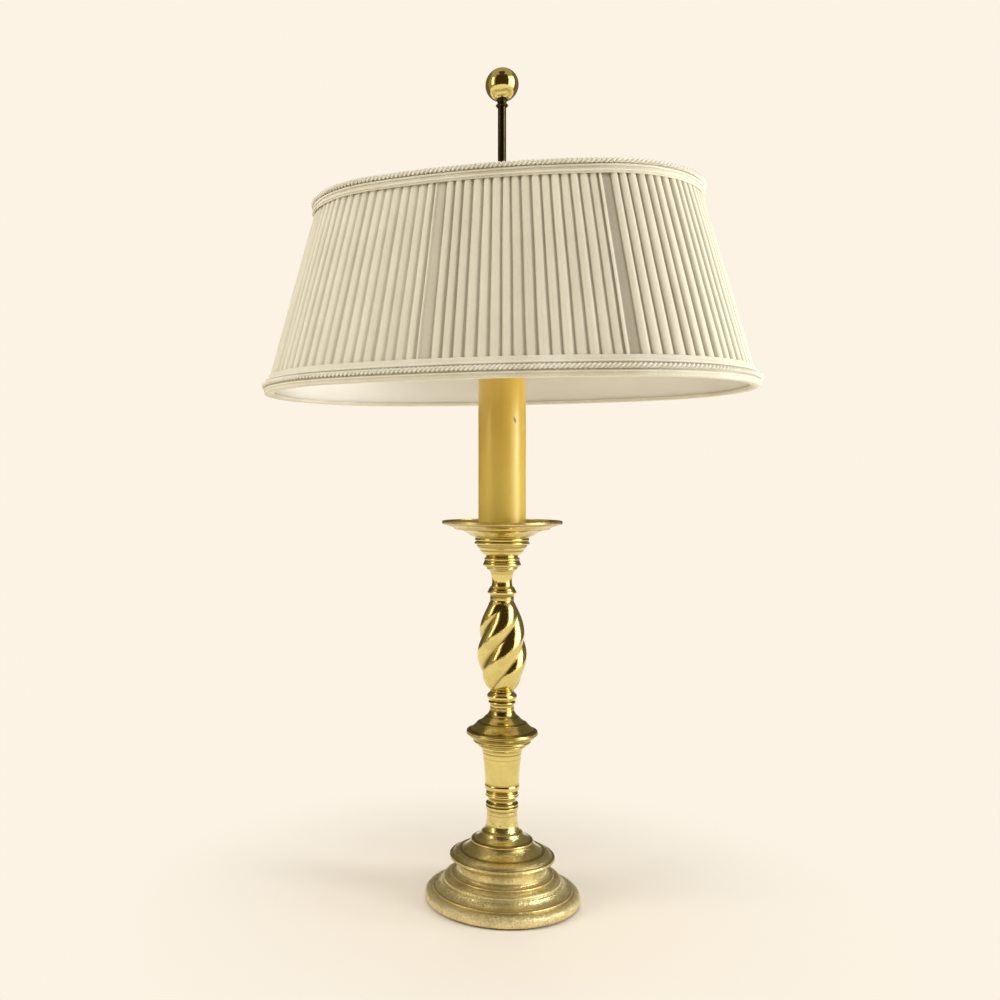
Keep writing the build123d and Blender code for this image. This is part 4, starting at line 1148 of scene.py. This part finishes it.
def make_floor():
    """Floor that is matt near the object, where it takes the shadow, and plain cream further out."""
    bpy.ops.mesh.primitive_circle_add(vertices=128, radius=floor_radius, fill_type="NGON")
    floor = bpy.context.object
    floor.name = "floor"
    material = bpy.data.materials.new("pale_floor")
    tree = emptied(material)
    place = add_node(tree, "TexCoord").outputs["Object"]
    away = add_node(tree, "VectorMath", {0: place}, operation="LENGTH").outputs["Value"]
    near = add_node(tree, "MapRange", {0: away, 1: shadow_near, 2: shadow_far, 3: 1.0, 4: 0.0},
                    interpolation_type="SMOOTHSTEP").outputs[0]
    glow = add_node(tree, "Emission", {"Color": (*cream, 1), "Strength": 1.0}).outputs[0]
    matt = add_node(tree, "BsdfDiffuse", {"Color": (0.90, 0.825, 0.71, 1)}).outputs[0]
    seen = seen_rays(tree)
    keep = calc(tree, "SUBTRACT", seen, calc(tree, "MULTIPLY", near, seen))
    mix = add_node(tree, "MixShader", {0: keep, 1: matt, 2: glow}).outputs[0]
    add_node(tree, "OutputMaterial", {"Surface": mix})
    floor.data.materials.append(material)


make_floor()


object_middle = 0.36


def softbox(name, azimuth, elevation, distance, size, power, tint, mirrored=True):
    """Soft rectangular lamp that looks at the object's middle; azimuth 0 is the front."""
    light = bpy.data.lights.new(name, "AREA")
    light.shape, light.size, light.size_y = "RECTANGLE", size[0], size[1]
    light.energy, light.color = power, tint
    lamp = bpy.data.objects.new(name, light)
    bpy.context.scene.collection.objects.link(lamp)
    turn, rise = radians(azimuth), radians(elevation)
    back = Vector((sin(turn) * cos(rise), -cos(turn) * cos(rise), sin(rise)))
    lamp.location = Vector((0, 0, object_middle)) + back * distance
    lamp.rotation_mode = "QUATERNION"
    lamp.rotation_quaternion = back.to_track_quat("Z", "Y")
    lamp.visible_glossy = mirrored


# name, azimuth, elevation, distance, size, watts and tint; metal shows only the key lamp
softbox("key_softbox", 84, 20, 1.9, (0.5, 1.4), 14, (0.97, 0.98, 1.0))
softbox("low_right_softbox", 96, -6, 1.7, (0.5, 0.25), 17, (0.95, 0.99, 1.05), mirrored=False)
softbox("fill_softbox", -58, 24, 2.2, (1.2, 1.4), 23, (1.0, 0.98, 0.95), mirrored=False)
softbox("front_top_softbox", 10, 62, 2.2, (1.4, 0.6), 9, (1.0, 0.98, 0.95), mirrored=False)
softbox("rear_softbox", 186, 34, 2.4, (1.4, 1.0), 8, (1.0, 0.98, 0.94), mirrored=False)


def card_finish(card, level):
    """Even glow of a card that only reflections show."""
    material = bpy.data.materials.new(card.name)
    tree = emptied(material)
    glow = add_node(tree, "Emission", {"Color": level, "Strength": 1.0}).outputs[0]
    add_node(tree, "OutputMaterial", {"Surface": glow})
    card.data.materials.append(material)
    card.visible_camera = card.visible_diffuse = card.visible_shadow = card.visible_transmission = False


def reflected_card(name, azimuth, width, low, high, distance, level, steps=12):
    """Curved card seen only in reflections, as studios use to draw dark and bright lines into metal."""
    points, faces = [], []
    for step in range(steps + 1):
        turn = radians(azimuth - width / 2 + width * step / steps)
        for height in (low, high):
            points.append((sin(turn) * distance, -cos(turn) * distance, height))
    for step in range(steps):
        faces.append((step * 2, step * 2 + 2, step * 2 + 3, step * 2 + 1))
    card_finish(make_mesh(name, points, faces, soft_edges=False), level)


# name, azimuth and width in degrees, low and high edge, distance, colour
reflected_card("front_card", 9, 94, 0.2, 2.6, 1.5, (0.050, 0.034, 0.018, 1))
reflected_card("low_front_card", 9, 110, 0.0, 0.2, 1.5, (1.15, 1.05, 0.85, 1))
reflected_card("right_window_card", 80, 44, 0.0, 2.4, 2.3, (2.3, 2.2, 1.95, 1))
reflected_card("left_window_card", -57, 16, 0.5, 2.4, 2.3, (2.6, 2.4, 2.1, 1))
reflected_card("left_room_card", -67, 60, 0.0, 2.9, 2.5, (0.34, 0.28, 0.17, 1))
reflected_card("left_edge_card", -138, 84, 0.0, 2.6, 1.7, (0.15, 0.13, 0.09, 1))
reflected_card("right_edge_card", 150, 88, 0.0, 2.6, 1.7, (0.17, 0.15, 0.11, 1))


def ceiling_card(name, azimuth, near, far, width, height, level):
    """Level card overhead, from one distance to another along an azimuth, seen only in reflections."""
    turn = radians(azimuth)
    forward, aside = Vector((sin(turn), -cos(turn), 0)), Vector((cos(turn), sin(turn), 0))
    points = [forward * reach + aside * side * width / 2 + Vector((0, 0, height))
              for reach, side in ((near, -1), (far, -1), (far, 1), (near, 1))]
    card_finish(make_mesh(name, points, [(0, 1, 2, 3)], soft_edges=False), level)


ceiling_card("ceiling_card", 0, -2.6, 2.6, 5.2, 2.95, (0.42, 0.36, 0.25, 1))
ceiling_card("front_canopy_card", 9, 0.25, 1.6, 1.1, 2.6, (0.06, 0.045, 0.022, 1))


def make_world():
    """Cream surround for what is seen, and a softer even light for the rest."""
    world = bpy.data.worlds.new("surround")
    bpy.context.scene.world = world
    tree = emptied(world)
    seen = seen_rays(tree)
    shown = add_node(tree, "Background", {"Color": (*cream, 1), "Strength": 1.0}).outputs[0]
    soft = add_node(tree, "Background", {"Color": (1.0, 0.97, 0.91, 1), "Strength": 0.44}).outputs[0]
    mix = add_node(tree, "MixShader", {0: seen, 1: soft, 2: shown}).outputs[0]
    add_node(tree, "OutputWorld", {"Surface": mix})


make_world()

# camera: its focal length, place and shift follow from the rings of the foot, pan and shade
camera_distance = 0.8085
camera_turn = radians(15.8)
camera_aside = 0.12
camera_height = 0.3188
lens = bpy.data.cameras.new("camera")
lens.lens, lens.sensor_width = 37.8, 36.0
lens.shift_x, lens.shift_y = 0.124, -0.015
lens.clip_start, lens.clip_end = 0.05, 100.0
camera = bpy.data.objects.new("camera", lens)
bpy.context.scene.collection.objects.link(camera)
camera.location = (camera_distance * (sin(camera_turn) - camera_aside * cos(camera_turn)),
                   -camera_distance * (cos(camera_turn) + camera_aside * sin(camera_turn)), camera_height)
camera.rotation_euler = (radians(90), 0, camera_turn)
bpy.context.scene.camera = camera
bpy.context.scene.view_settings.view_transform = "Standard"
